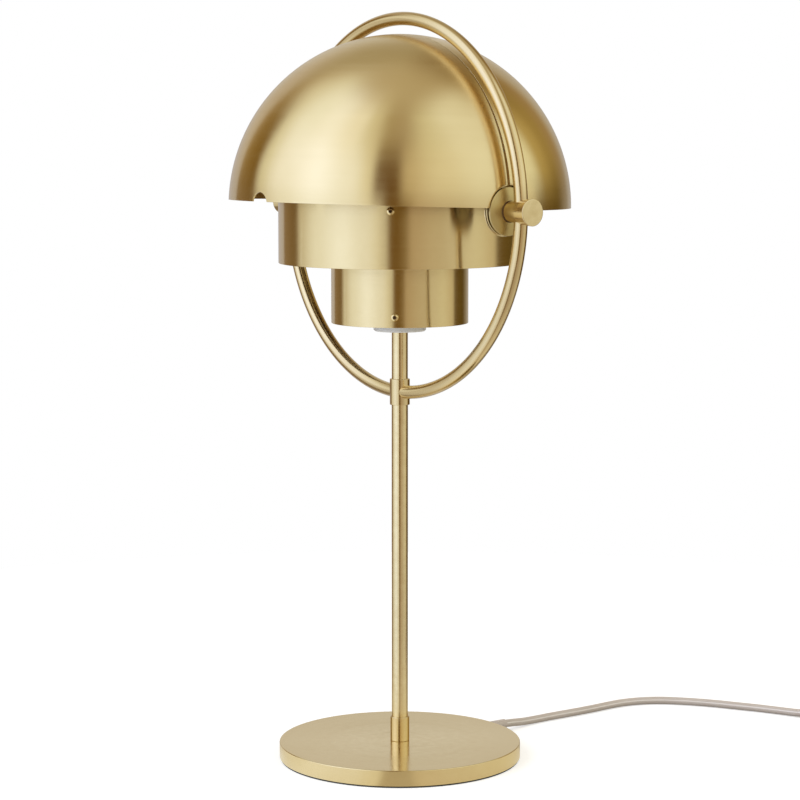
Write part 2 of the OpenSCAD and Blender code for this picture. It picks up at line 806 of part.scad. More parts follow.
module cord_tail() {
    color(TAUPE) route_tube(tail_route, cord_r, tube_sides);
}

module cord_coil() {
    color(TAUPE) route_tube(coil_route, cord_r, coil_sides);
}

module cord_end() {
    color(TAUPE) route_tube(end_route, cord_r, tube_sides);
}

// A flat strap round the whole bundle of turns
module cord_tie() {
    tie_w = 9;
    r0 = coil_core_r - cord_r - 0.4;
    r1 = coil_outer_r + cord_r + 0.4;
    high = coil_low + pitch + cord_r + 0.4;
    color(BLACK) translate([coil_at[0], coil_at[1], 0]) rotate([0, 0, -20])
        translate([0, tie_w / 2, 0]) rotate([90, 0, 0]) linear_extrude(tie_w) difference() {
            translate([r0 - tie_t, 0]) square([r1 - r0 + 2 * tie_t, high + tie_t]);
            translate([r0, tie_t]) square([r1 - r0, high - tie_t]);
        }
}

// ---------- switch on the cord ----------

switch_h = 15;       // height of the switch
switch_split = 6;    // height of the joint between its halves
switch_r = 11;       // radius of its round ends
switch_len = 54;     // length of its body
sleeve_r = 3.9;      // sleeves at the cord's entries
rocker_z = 12;       // height of the rocker's pivot
rocker_half = 7.5;   // half the rocker's length
rocker_w = 9.4;      // width of the rocker
rocker_tilt = 6;     // turn of the rocker at rest
stub_r = 1.2;        // its stub axles

module at_switch() {
    translate([switch_at[0], switch_at[1], 0]) children();
}

// The switch's outline, drawn in by d
module switch_outline(d) {
    span = switch_len / 2 - switch_r;
    hull() for (x = [-span, span]) translate([x, 0]) circle(r = switch_r - d, $fn = 32);
}

module switch_base() {
    color(WHITE) at_switch() {
        difference() {
            union() {
                linear_extrude(switch_split - press) switch_outline(0);
                radial_rod(switch_cord_z, -switch_half, switch_half, sleeve_r);
            }
            translate([-switch_len / 2 + 1, -switch_r, switch_split - press])
                cube([switch_len - 2, 2 * switch_r, switch_h]);
        }
    }
}

module switch_cover() {
    edge = 2;
    color(WHITE) at_switch() difference() {
        hull() {
            translate([0, 0, switch_split]) linear_extrude(switch_h - switch_split - edge)
                switch_outline(0);
            translate([0, 0, switch_h - 0.5]) linear_extrude(0.5) switch_outline(edge);
        }
        radial_rod(switch_cord_z, -switch_half - 1, -switch_len / 2 + 1 + press,
            sleeve_r + press);
        radial_rod(switch_cord_z, switch_len / 2 - 1 - press, switch_half + 1,
            sleeve_r + press);
        translate([-rocker_half - 1, -rocker_w / 2 - ease, switch_split + 1.2])
            cube([2 * rocker_half + 2, rocker_w + 2 * ease, switch_h]);
        translate([0, 0, rocker_z]) rotate([90, 0, 0])
            cylinder(h = rocker_w + 3.4, r = stub_r + run, center = true);
    }
}

module switch_rocker() {
    low = -3;
    side = 2.2;
    ridge = 3.6;
    color(WHITE) at_switch() translate([0, 0, rocker_z]) rotate([90, 0, 0]) {
        rotate([0, 0, rocker_tilt]) linear_extrude(rocker_w, center = true) polygon([
            [-rocker_half, low], [rocker_half, low], [rocker_half, side], [0, ridge],
            [-rocker_half, side]]);
        cylinder(h = rocker_w + 3, r = stub_r, center = true);
    }
}

// ---------- plug ----------

plug_t = 14;         // thickness of the plug
plug_w = 34;         // width across the pins
plug_len = 20;       // length of the wide part
pin_r = 2;           // radius of each pin
pin_len = 19;        // length of each pin
pin_gap = 18.6;      // distance between the pins

module plug_body() {
    neck = 11;
    color(WHITE) translate([plug_at[0], plug_at[1], 0]) {
        translate([0, 0, 0]) linear_extrude(plug_t) polygon([
            [0, -plug_w / 2 + 4], [4, -plug_w / 2], [plug_len - 6, -plug_w / 2],
            [plug_len, -neck / 2], [plug_len, neck / 2], [plug_len - 6, plug_w / 2],
            [4, plug_w / 2], [0, plug_w / 2 - 4]]);
        translate([plug_len, 0, plug_z]) rotate([0, 90, 0])
            cylinder(h = 6, r1 = neck / 2, r2 = cord_r + 1);
    }
}

module plug_pins() {
    color(STEEL) for (side = [-1, 1])
        translate([plug_at[0] - press, plug_at[1] + side * pin_gap / 2, plug_z])
            rotate([0, -90, 0]) cylinder(h = pin_len, r = pin_r, $fn = 32);
}

// ---------- nodes ----------

module knob_near() { knob(1); }
module knob_far() { knob(-1); }
module washer_near() { washer(1); }
module washer_far() { washer(-1); }
module friction_discs_near() { friction_discs(1); }
module friction_discs_far() { friction_discs(-1); }
module pivot_bolt_near() { pivot_bolt(1); }
module pivot_bolt_far() { pivot_bolt(-1); }
module spring_washer_near() { spring_washer(1); }
module spring_washer_far() { spring_washer(-1); }

foot_pad();
base_weight();
base_cover();
base_washer();
base_nut();
stem_nipple();
foot_collar();
stem_tube();
tee_collar();
upper_stem();
ring();
knob_near();
knob_far();
washer_near();
washer_far();
friction_discs_near();
friction_discs_far();
pivot_bolt_near();
pivot_bolt_far();
spring_washer_near();
spring_washer_far();
front_shade();
back_shade();
lower_ring();
lower_arms();
middle_band();
middle_arms();
inner_drum();
outer_drum();
inner_drum_screws();
outer_drum_screws();
spider_rivets();
lamp_holder();
clamp_ring();
socket_shell();
bulb_cap();
bulb_globe();
stem_wires();
cord_anchor();
anchor_screws();
base_lead();
strain_relief();
cord_lead();
switch_base();
switch_cover();
switch_rocker();
cord_tail();
cord_coil();
cord_tie();
cord_end();
plug_body();
plug_pins();
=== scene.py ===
"""Satin brass table lamp: its finishes, its cord, the studio light and the camera.

The lamp's pieces and its cord are given in millimetres, and the finishes, the studio and the
camera's place in metres. Angles are in degrees, unless a comment says radians.
"""

import logging
import math
from dataclasses import dataclass
from enum import Enum
from itertools import accumulate
from typing import Callable, Sequence

import bpy
from bpy.types import Material, NodeOutputs, NodeSocket, NodeTree, Object
from mathutils import Matrix, Vector


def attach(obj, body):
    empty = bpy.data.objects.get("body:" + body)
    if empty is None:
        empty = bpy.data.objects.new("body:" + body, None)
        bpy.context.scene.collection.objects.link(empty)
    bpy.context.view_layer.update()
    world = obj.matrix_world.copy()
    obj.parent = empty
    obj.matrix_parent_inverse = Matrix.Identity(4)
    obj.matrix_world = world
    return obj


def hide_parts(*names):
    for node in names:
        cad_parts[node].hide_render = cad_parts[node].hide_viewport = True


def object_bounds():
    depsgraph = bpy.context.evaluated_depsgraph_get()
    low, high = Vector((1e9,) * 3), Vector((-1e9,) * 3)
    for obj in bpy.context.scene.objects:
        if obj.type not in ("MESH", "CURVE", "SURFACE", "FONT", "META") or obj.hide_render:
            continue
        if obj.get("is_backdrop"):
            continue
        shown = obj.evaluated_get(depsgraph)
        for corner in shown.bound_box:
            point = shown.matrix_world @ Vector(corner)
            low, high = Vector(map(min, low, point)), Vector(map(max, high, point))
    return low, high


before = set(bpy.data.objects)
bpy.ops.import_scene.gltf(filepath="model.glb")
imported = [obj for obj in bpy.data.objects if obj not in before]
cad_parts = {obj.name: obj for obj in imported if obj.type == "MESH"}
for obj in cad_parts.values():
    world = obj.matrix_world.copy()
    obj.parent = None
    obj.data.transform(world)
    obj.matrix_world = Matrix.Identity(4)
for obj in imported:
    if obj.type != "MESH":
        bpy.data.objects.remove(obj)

LOG = logging.getLogger("table_lamp")
CAD_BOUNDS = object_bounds()
MM = 0.001  # One millimetre in metres
PIVOT_Z = 372.4  # Height of the axis that the shades turn about
WHITE = (1.0, 1.0, 1.0)

Profile = list[tuple[float, float]]
Finishes = dict[str, Material]
Colour = tuple[float, float, float]
Point = tuple[float, float, float]
Stops = tuple[tuple[float, Colour], ...]
Source = NodeSocket | float | Sequence[float]


class Grain(Enum):
    """How the fine marks of a finish run over a piece."""

    AROUND = "around the axis that the piece was turned on"
    LEVEL = "level lines at a steady height"
    PLAIN = "no direction"


# ---------------------------------------------------------------- meshes


def rounded(points: Profile, radius: float, steps: int = 3) -> Profile:
    """Round every inner corner of an open outline.

    Args:
        points: Corner points in millimetres.
        radius: Corner radius in millimetres, cut down at short sides.
        steps: Segments in each corner.

    Returns:
        The outline with an arc at each corner.
    """
    straight, side_share = math.radians(172), 0.45
    out: Profile = [points[0]]
    for before, here, after in zip(points, points[1:], points[2:]):
        a, b, c = Vector(before), Vector(here), Vector(after)
        into, away = (a - b), (c - b)
        if min(into.length, away.length) < 1e-6:
            continue
        turn = into.angle(away)
        if turn > straight:
            out.append(here)
            continue
        room = side_share * min(into.length, away.length)
        reach = min(radius / math.tan(turn / 2), room)
        p, q = b + into.normalized() * reach, b + away.normalized() * reach
        for i in range(steps + 1):
            t = i / steps
            point = p * (1 - t) ** 2 + b * (2 * t * (1 - t)) + q * t * t
            out.append((point.x, point.y))
    out.append(points[-1])
    return out


def turns(count: int) -> list[float]:
    """Return the angles of even steps round a full turn."""
    return [2 * math.pi * k / count for k in range(count)]


def grid_faces(rows: int, row: int, wrap: bool = True) -> list[tuple[int, int, int, int]]:
    """Join a grid of points with quads.

    Args:
        rows: Number of rows.
        row: Points in each row.
        wrap: Whether each row closes on itself.

    Returns:
        Corner indices, row by row.
    """
    return [
        (i * row + j, i * row + (j + 1) % row, (i + 1) * row + (j + 1) % row, (i + 1) * row + j)
        for i in range(rows - 1)
        for j in range(row if wrap else row - 1)
    ]


class MeshMaker:
    """Makes smooth meshes in metres from sizes in millimetres, with U across the grain's lines."""

    @staticmethod
    def make(
        name: str,
        verts: Sequence[Sequence[float]],
        faces: Sequence[Sequence[int]],
        uvs: Sequence[tuple[float, float]] | None = None,
        slots: Sequence[int] | None = None,
        sharp: float = 40,
    ) -> Object:
        """Link a new smooth-shaded object.

        Args:
            name: Object name.
            verts: Points in millimetres.
            faces: Corner indices of each face.
            uvs: One U, V pair for each point, in metres.
            slots: Material index of each face.
            sharp: Angle in degrees over which an edge stays sharp.

        Returns:
            The object, at the origin.
        """
        mesh = bpy.data.meshes.new(name)
        mesh.from_pydata([[c * MM for c in v] for v in verts], [], [list(f) for f in faces])
        mesh.validate()
        mesh.shade_smooth()
        mesh.set_sharp_from_angle(angle=math.radians(sharp))
        if uvs is not None:
            layer = mesh.uv_layers.new(name="grain")
            for loop in mesh.loops:
                layer.data[loop.index].uv = uvs[loop.vertex_index]
        if slots is not None:
            for poly, index in zip(mesh.polygons, slots):
                poly.material_index = index
        obj = bpy.data.objects.new(name, mesh)
        bpy.context.scene.collection.objects.link(obj)
        weighted = obj.modifiers.new("flat faces stay flat", "WEIGHTED_NORMAL")
        weighted.keep_sharp = True
        return obj

    @classmethod
    def lathe(
        cls,
        name: str,
        outline: Profile,
        place: Matrix | None = None,
        segments: int = 192,
        closed: bool = True,
        sharp: float = 40,
    ) -> Object:
        """Turn an outline round an axis.

        Args:
            name: Object name.
            outline: Radius and height pairs, listed with the solid on the left.
            place: Matrix from the axis along Z to its real place, in millimetres.
            segments: Steps round the axis.
            closed: Whether the last point joins the first.
            sharp: Angle in degrees over which an edge stays sharp.

        Returns:
            The turned object.
        """
        place = place or Matrix.Identity(4)
        mean = max(1.0, sum(r for r, _ in outline) / len(outline))
        runs = list(accumulate(map(math.dist, outline, outline[1:]), initial=0.0))
        verts, uvs = [], []
        for angle in turns(segments):
            for (r, h), run in zip(outline, runs):
                verts.append(place @ Vector((r * math.cos(angle), r * math.sin(angle), h)))
                uvs.append((run * MM, angle * mean * MM))
        quads = grid_faces(segments + 1, len(outline), closed)
        faces = [[v % len(verts) for v in (a, d, c, b)] for a, b, c, d in quads]
        return cls.make(name, verts, faces, uvs, sharp=sharp)

    @classmethod
    def sweep(
        cls, name: str, path: Sequence[Vector], section: Callable[[float], float], sides: int
    ) -> Object:
        """Sweep a section along a path that never stands upright.

        Args:
            name: Object name.
            path: Points of the centreline in millimetres.
            section: Radius at an angle, in millimetres, with 0 to the side.
            sides: Points round the section.

        Returns:
            The swept object.
        """
        verts, uvs = [], []
        run = 0.0
        for i, point in enumerate(path):
            ahead = (path[min(i + 1, len(path) - 1)] - path[max(i - 1, 0)]).normalized()
            side = ahead.cross(Vector((0, 0, 1))).normalized()
            over = side.cross(ahead)
            run += (point - path[i - 1]).length if i else 0.0
            for angle in turns(sides):
                r = section(angle)
                verts.append(point + side * (r * math.cos(angle)) + over * (r * math.sin(angle)))
                uvs.append((angle * section(0) * MM, run * MM))
        ends = [range(sides)[::-1], range(len(verts) - sides, len(verts))]
        return cls.make(name, verts, [*grid_faces(len(path), sides), *ends], uvs, sharp=60)


def along_x(side: int) -> Matrix:
    """Return the matrix that turns an axis along Z to the pivot axis, on side 1 or -1."""
    turn = Matrix.Rotation(math.radians(90 * side), 4, "Y")
    return Matrix.Translation((0, 0, PIVOT_Z)) @ turn


def set_slots(obj: Object, *materials: Material) -> None:
    """Replace an object's materials, keeping each face's index.

    Args:
        obj: The object.
        materials: Its new materials, in the order of the faces' indices.
    """
    indices = [poly.material_index for poly in obj.data.polygons]
    obj.data.materials.clear()
    for material in materials:
        obj.data.materials.append(material)
    for poly, index in zip(obj.data.polygons, indices):
        poly.material_index = min(index, len(materials) - 1)


def soften(obj: Object, width: float, segments: int, degrees: float) -> None:
    """Bevel the sharper edges of an object.

    Args:
        obj: The object.
        width: Width in millimetres.
        segments: Steps across the bevel.
        degrees: Least turn of an edge that is bevelled.
    """
    bevel = obj.modifiers.new("soft edges", "BEVEL")
    bevel.width = width * MM
    bevel.segments = segments
    bevel.limit_method = "ANGLE"
    bevel.angle_limit = math.radians(degrees)
    bevel.harden_normals = True


def stand_for(
    obj: Object, body: str, slot: str, nodes: Sequence[str], *materials: Material
) -> Object:
    """Dress a piece, and make it ride on a body in place of CAD nodes.

    Args:
        obj: The new piece.
        body: CAD body that carries it.
        slot: Not used.
        nodes: CAD nodes that it stands for.
        materials: Its materials, in the order of its faces' indices.

    Returns:
        The same piece.
    """
    set_slots(obj, *materials)
    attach(obj, body)
    if nodes:
        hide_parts(*nodes)
    LOG.info("%s stands for %s", obj.name, ", ".join(nodes) or "nothing in CAD")
    return obj


# ---------------------------------------------------------------- shader effects


class NodeMaker:
    """Adds nodes to a tree, and joins or fills their inputs."""

    def __init__(self, tree: NodeTree) -> None:
        """Keep the tree."""
        self.tree = tree

    def feed(self, target: NodeSocket, value: Source) -> None:
        """Join an input to a socket, or set it to a constant.

        Args:
            target: The input.
            value: A socket to join, or a constant.
        """
        if isinstance(value, NodeSocket):
            self.tree.links.new(value, target)
        else:
            target.default_value = value

    def add(
        self, kind: str, inputs: dict[str | int, Source] | None = None, **values: object
    ) -> bpy.types.Node:
        """Add a node.

        Args:
            kind: Blender's name for the type of node.
            inputs: What each input is joined to or set to.
            values: Properties of the node.

        Returns:
            The node.
        """
        node = self.tree.nodes.new(kind)
        for key, value in values.items():
            setattr(node, key, value)
        for key, value in (inputs or {}).items():
            self.feed(node.inputs[key], value)
        return node

    def math(self, operation: str, *values: Source, clamp: bool = False) -> NodeSocket:
        """Return the result of an operation on up to three values."""
        inputs = dict(enumerate(values))
        return self.add("ShaderNodeMath", inputs, operation=operation, use_clamp=clamp).outputs[0]

    def noise(
        self, where: Source, scale: Source, detail: float = 2.0, roughness: float = 0.5
    ) -> NodeSocket:
        """Return noise at a position."""
        inputs = {"Vector": where, "Scale": scale, "Detail": detail, "Roughness": roughness}
        return self.add("ShaderNodeTexNoise", inputs).outputs["Fac"]

    def mix(self, factor: Source, low: Source, high: Source) -> NodeSocket:
        """Mix two colours.

        Args:
            factor: Share of the second colour.
            low: Colour at 0.
            high: Colour at 1.

        Returns:
            The mixed colour.
        """
        ends = [c if isinstance(c, NodeSocket) else (*c, 1) for c in (low, high)]
        inputs = {"Factor": factor, "A": ends[0], "B": ends[1]}
        return self.add("ShaderNodeMix", inputs, data_type="RGBA").outputs["Result"]

    def span(
        self,
        value: Source,
        low: float,
        high: float,
        start: float = 0.3,
        stop: float = 0.7,
        kind: str = "LINEAR",
    ) -> NodeSocket:
        """Spread a value over another range.

        Args:
            value: The value.
            low: Result at the start.
            high: Result at the stop.
            start: Value where the result is low.
            stop: Value where the result is high.
            kind: Blender's name for the curve between them.

        Returns:
            The spread value, held to low and high.
        """
        limits = {"From Min": start, "From Max": stop, "To Min": low, "To Max": high}
        inputs = {"Value": value, **limits}
        return self.add("ShaderNodeMapRange", inputs, interpolation_type=kind).outputs["Result"]


class Effects:
    """Node groups that several finishes share."""

    def __init__(self) -> None:
        """Build each group once."""
        self.grain = self._grain()
        self.mottle = self._mottle()
        self.rub = self._rub()

    @staticmethod
    def _start(name: str, inputs: dict[str, float]) -> tuple[NodeMaker, NodeOutputs]:
        """Open a node group with a Position vector and float inputs.

        Args:
            name: Group name.
            inputs: Float inputs and their values.

        Returns:
            A maker for the group's nodes, and the sockets of its inputs.
        """
        group = bpy.data.node_groups.new(name, "ShaderNodeTree")
        face = group.interface
        face.new_socket("Position", in_out="INPUT", socket_type="NodeSocketVector")
        for key, value in inputs.items():
            socket = face.new_socket(key, in_out="INPUT", socket_type="NodeSocketFloat")
            socket.default_value = value
        make = NodeMaker(group)
        return make, make.add("NodeGroupInput").outputs

    @staticmethod
    def _end(make: NodeMaker, results: dict[str, NodeSocket]) -> NodeTree:
        """Give a node group its float outputs.

        Args:
            make: Maker of the group's nodes.
            results: What each output is joined to.

        Returns:
            The finished group.
        """
        for key in results:
            make.tree.interface.new_socket(key, in_out="OUTPUT", socket_type="NodeSocketFloat")
        make.add("NodeGroupOutput", results)
        return make.tree

    def _grain(self) -> NodeTree:
        """Make the fine lines that a brush or a lathe leaves.

        Returns:
            The group.
        """
        make, given = self._start("brushed lines", {"Across": 900.0, "Along": 6.0})
        axes = make.add("ShaderNodeSeparateXYZ", {0: given["Position"]}).outputs
        pairs = (("X", "Across"), ("Y", "Along"), ("Z", "Along"))
        stretched = {axis: make.math("MULTIPLY", axes[axis], given[key]) for axis, key in pairs}
        where = make.add("ShaderNodeCombineXYZ", stretched).outputs[0]
        fine = make.noise(where, 1.0, detail=3.0, roughness=0.65)
        return self._end(make, {"Line": fine, "Soft Line": make.noise(where, 0.12)})

    def _mottle(self) -> NodeTree:
        """Make a slow, cloudy change of tone, and flecks that are 60 times finer.

        Returns:
            The group.
        """
        make, given = self._start("cloudy tone", {"Size": 22.0})
        where, size = given["Position"], given["Size"]
        fleck = make.noise(where, make.math("MULTIPLY", size, 60.0))
        return self._end(make, {"Cloud": make.noise(where, size, detail=3.0), "Fleck": fleck})

    def _rub(self) -> NodeTree:
        """Find the edges where a finish is rubbed.

        Returns:
            The group.
        """
        make, given = self._start("rubbed edges", {"Reach": 0.06})
        pointed, flat = make.add("ShaderNodeNewGeometry").outputs["Pointiness"], 0.5
        above = make.math("SUBTRACT", pointed, flat)
        ratio = make.math("DIVIDE", above, given["Reach"], clamp=True)
        patchy = make.noise(given["Position"], 240.0)
        return self._end(make, {"Edge": make.math("MULTIPLY", ratio, patchy)})


class Surface(NodeMaker):
    """A material under construction."""

    def __init__(self, name: str) -> None:
        """Start a material with one Principled shader.

        Args:
            name: Material name.
        """
        self.material = bpy.data.materials.new(name)
        self.material.use_nodes = True
        super().__init__(self.material.node_tree)
        self.shader = self.tree.nodes["Principled BSDF"]

    def place(self, grain: Grain) -> NodeSocket:
        """Find the position that the grain follows.

        Args:
            grain: How the marks run.

        Returns:
            The position, with X across the lines.
        """
        if grain is Grain.AROUND:
            return self.add("ShaderNodeUVMap", uv_map="grain").outputs["UV"]
        where = self.add("ShaderNodeTexCoord").outputs["Object"]
        if grain is Grain.PLAIN:
            return where
        inputs = {"Vector": where, "Rotation": (0, math.radians(90), 0)}
        return self.add("ShaderNodeMapping", inputs).outputs["Vector"]

    def effect(self, group: NodeTree, where: NodeSocket, **values: float) -> NodeOutputs:
        """Place a shared effect at a position, with its own values, and return its outputs."""
        return self.add("ShaderNodeGroup", {**values, "Position": where}, node_tree=group).outputs

    def tone(
        self, effects: Effects, size: float, light: Colour, dark: Colour, worn: float
    ) -> tuple[NodeSocket, NodeOutputs]:
        """Make the cloudy colour of a finish, paler where its edges are rubbed.

        Args:
            effects: Shared node groups.
            size: Clouds in a metre.
            light: Palest colour.
            dark: Darkest colour.
            worn: How much paler a rubbed edge is.

        Returns:
            The colour, and the outputs of the cloudy tone.
        """
        where = self.place(Grain.PLAIN)
        cloudy = self.effect(effects.mottle, where, Size=size)
        edge = self.effect(effects.rub, where, Reach=0.1)["Edge"]
        colour = self.mix(self.span(cloudy["Cloud"], 0, 1), dark, light)
        return self.mix(edge, colour, tuple(min(1, c * worn) for c in light)), cloudy

    def relief(self, height: NodeSocket, strength: float, depth: float) -> None:
        """Raise the surface by a height, depth in metres."""
        inputs = {"Height": height, "Strength": strength, "Distance": depth}
        self.set(Normal=self.add("ShaderNodeBump", inputs).outputs["Normal"])

    def set(self, **values: Source) -> None:
        """Join or set the shader's inputs, with _ for a space in an input's name."""
        for key, value in values.items():
            self.feed(self.shader.inputs[key.replace("_", " ")], value)


@dataclass(frozen=True)
class BrassFinish:
    """Satin brass under a thin clear lacquer, with the fine lines of its polishing."""

    name: str = "satin brass"
    light: Colour = (0.84, 0.69, 0.39)
    dark: Colour = (0.79, 0.63, 0.33)
    rubbed: Colour = (0.93, 0.80, 0.50)
    smooth: float = 0.19
    rough: float = 0.23
    coat: float = 0.03
    anisotropic: float = 0.85
    across: float = 1500.0
    along: float = 12.0
    grain: Grain = Grain.AROUND
    relief: float = 0.012

    def build(self, effects: Effects) -> Material:
        """Build the material.

        Args:
            effects: Shared node groups.

        Returns:
            The material.
        """
        s = Surface(self.name)
        where = s.place(self.grain)
        lines = s.effect(effects.grain, where, Across=self.across, Along=self.along)
        solid = s.place(Grain.PLAIN)
        cloud = s.effect(effects.mottle, solid, Size=14.0)["Cloud"]
        edge = s.effect(effects.rub, solid, Reach=0.08)["Edge"]
        colour = s.mix(s.span(cloud, 0, 1), self.dark, self.light)
        colour = s.mix(s.span(lines["Line"], 0.0, 0.3), colour, self.dark)
        s.set(
            Base_Color=s.mix(edge, colour, self.rubbed), Metallic=1.0,
            Roughness=s.span(lines["Soft Line"], self.smooth, self.rough),
            Anisotropic=self.anisotropic, Coat_Weight=self.coat, Coat_Roughness=0.12,
            Coat_IOR=1.45,
        )
        if self.grain is Grain.AROUND:
            tangent = s.add("ShaderNodeTangent", direction_type="UV_MAP", uv_map="grain")
            s.set(Tangent=tangent.outputs[0])
        s.relief(lines["Line"], self.relief, 0.0001)
        return s.material


@dataclass(frozen=True)
class MetalFinish:
    """Plain steel, iron or nickel of the small and hidden pieces."""

    name: str
    light: Colour
    dark: Colour
    smooth: float = 0.25
    rough: float = 0.4
    metallic: float = 1.0
    bump: float = 0.05
    size: float = 60.0

    def build(self, effects: Effects) -> Material:
        """Build the material.

        Args:
            effects: Shared node groups.

        Returns:
            The material.
        """
        s = Surface(self.name)
        colour, cloudy = s.tone(effects, self.size, self.light, self.dark, 1.2)
        lines = s.effect(effects.grain, s.place(Grain.LEVEL), Across=700.0, Along=30.0)
        roughness = s.span(lines["Line"], self.smooth, self.rough)
        s.set(Base_Color=colour, Roughness=roughness, Metallic=self.metallic)
        s.relief(cloudy["Fleck"], self.bump, 0.0002)
        return s.material


@dataclass(frozen=True)
class PlasticFinish:
    """Moulded plastic, rubber or paint, with its fine skin."""

    name: str
    light: Colour
    dark: Colour
    smooth: float = 0.3
    rough: float = 0.42
    bump: float = 0.06
    size: float = 40.0

    def build(self, effects: Effects) -> Material:
        """Build the material.

        Args:
            effects: Shared node groups.

        Returns:
            The material.
        """
        s = Surface(self.name)
        colour, cloudy = s.tone(effects, self.size, self.light, self.dark, 1.1)
        roughness = s.span(cloudy["Fleck"], self.smooth, self.rough)
        s.set(Base_Color=self._with_painted_glint(s, colour), Roughness=roughness)
        s.relief(cloudy["Fleck"], self.bump, 0.0002)
        return s.material

    def _with_painted_glint(self, _: Surface, colour: NodeSocket) -> NodeSocket:
        """Return the colour with its painted highlight, of which plain plastic has none."""
        return colour


@dataclass(frozen=True)
class CordFinish(PlasticFinish):
    """Soft sleeve of the cord, with a pale stripe of painted highlight along both sides at its
    grooves, where light glints off it.
    """

    # Colour of the painted highlight, a pale stripe where light glints along the cord
    painted_glint_colour: Colour = (0.84, 0.79, 0.75)
    painted_glint_shift: float = 0.0033
    half_way_round: float = 0.00848
    painted_glint_half: float = 0.0006

    def _with_painted_glint(self, s: Surface, colour: NodeSocket) -> NodeSocket:
        """Add the pale lines, a painted highlight for the light that glints along the cord.

        Args:
            s: The material.
            colour: Colour of the sleeve.

        Returns:
            The colour with the pale lines of painted highlight.
        """
        around = s.add("ShaderNodeSeparateXYZ", {0: s.place(Grain.AROUND)}).outputs["X"]
        turned = s.math("MODULO", s.math("ADD", around, self.painted_glint_shift), self.half_way_round)
        off = s.math("ABSOLUTE", s.math("SUBTRACT", turned, self.half_way_round / 2))
        painted_glint_mask = s.span(off, 0.8, 0.0, self.painted_glint_half * 0.4, self.painted_glint_half)
        return s.mix(painted_glint_mask, colour, self.painted_glint_colour)


@dataclass(frozen=True)
class BulbGlassFinish:
    """Opal glass of the bulb, pale and satin, with a little light passing through."""

    name: str = "opal bulb glass"
    light: Colour = (0.93, 0.92, 0.89)
    dark: Colour = (0.88, 0.87, 0.83)

    def build(self, effects: Effects) -> Material:
        """Build the material.

        Args:
            effects: Shared node groups.

        Returns:
            The material.
        """
        s = Surface(self.name)
        cloudy = s.effect(effects.mottle, s.place(Grain.PLAIN), Size=30.0)
        colour = s.mix(s.span(cloudy["Cloud"], 0, 1), self.dark, self.light)
        roughness = s.span(cloudy["Fleck"], 0.28, 0.38)
        s.set(Base_Color=colour, Roughness=roughness, Transmission_Weight=0.35, IOR=1.5)
        return s.material


FINISHES = {
    "brass": BrassFinish(),
    "brass_tube": BrassFinish(
        name="satin brass tube", light=(0.78, 0.63, 0.36), dark=(0.73, 0.57, 0.31),
        across=700.0, along=14.0, anisotropic=0.2, smooth=0.15, rough=0.19, relief=0.002,
    ),
    "brass_washer": BrassFinish(
        name="satin brass washers", light=(0.64, 0.51, 0.24), dark=(0.58, 0.45, 0.19),
        anisotropic=0.2, smooth=0.36, rough=0.42,
    ),
    # Duller brass for the shades' inside and the ears' inner faces; its colour is darker than the
    # outside's as painted shade for the shade inside the dome
    "brass_inside_painted_shade": BrassFinish(
        name="brass inside of the shades, darkened as painted shade", light=(0.66, 0.51, 0.26),
        dark=(0.58, 0.43, 0.20), anisotropic=0.4, smooth=0.24, rough=0.32, relief=0.02,
        coat=0.0,
    ),
    "brass_small": BrassFinish(
        name="satin brass fittings", grain=Grain.LEVEL, anisotropic=0.0, smooth=0.12,
        rough=0.17,
    ),
    "brass_base": BrassFinish(
        name="satin brass base", across=1200.0, along=9.0, anisotropic=0.6, smooth=0.18,
    ),
    "inner_paint": PlasticFinish(
        "warm white inner paint", (0.86, 0.83, 0.76), (0.82, 0.79, 0.71),
        smooth=0.38, rough=0.5, bump=0.05,
    ),
    "steel": MetalFinish("zinc plated steel", (0.62, 0.62, 0.60), (0.52, 0.52, 0.50)),
    "iron": MetalFinish(
        "cast iron weight", (0.09, 0.088, 0.085), (0.05, 0.05, 0.05),
        smooth=0.5, rough=0.75, metallic=0.7, bump=0.5,
    ),
    "nickel": MetalFinish(
        "nickel plated pins", (0.78, 0.77, 0.73), (0.70, 0.69, 0.65), smooth=0.12, rough=0.22
    ),
    "nylon": PlasticFinish(
        "black nylon disc", (0.022, 0.021, 0.02), (0.012, 0.012, 0.012), smooth=0.42, rough=0.55
    ),
    # Dark brown painted shade, put where shade falls: the thin ring at each knob's foot and the
    # hex recesses of the drum screws
    "groove": PlasticFinish(
        "brown painted shade", (0.110, 0.052, 0.014), (0.080, 0.036, 0.009), smooth=0.6, rough=0.75
    ),
    "pad": PlasticFinish(
        "dark rubber pad", (0.03, 0.029, 0.028), (0.016, 0.016, 0.016),
        smooth=0.6, rough=0.8, bump=0.3,
    ),
    "holder_white": PlasticFinish(
        "white holder", (0.88, 0.88, 0.87), (0.84, 0.84, 0.83), smooth=0.22, rough=0.3, bump=0.02
    ),
    "bulb_glass": BulbGlassFinish(),
    "wire_black": PlasticFinish(
        "wire sleeve", (0.03, 0.03, 0.03), (0.02, 0.02, 0.02), smooth=0.4, rough=0.5
    ),
    "cord_taupe": CordFinish(
        "taupe cord", (0.58, 0.51, 0.46), (0.53, 0.46, 0.41),
        smooth=0.28, rough=0.36, bump=0.04, size=30.0,
    ),
    "fitting_taupe": PlasticFinish(
        "taupe fittings", (0.51, 0.44, 0.39), (0.48, 0.41, 0.36),
        smooth=0.36, rough=0.48, bump=0.08,
    ),
}


# ---------------------------------------------------------------- camera, cord and light


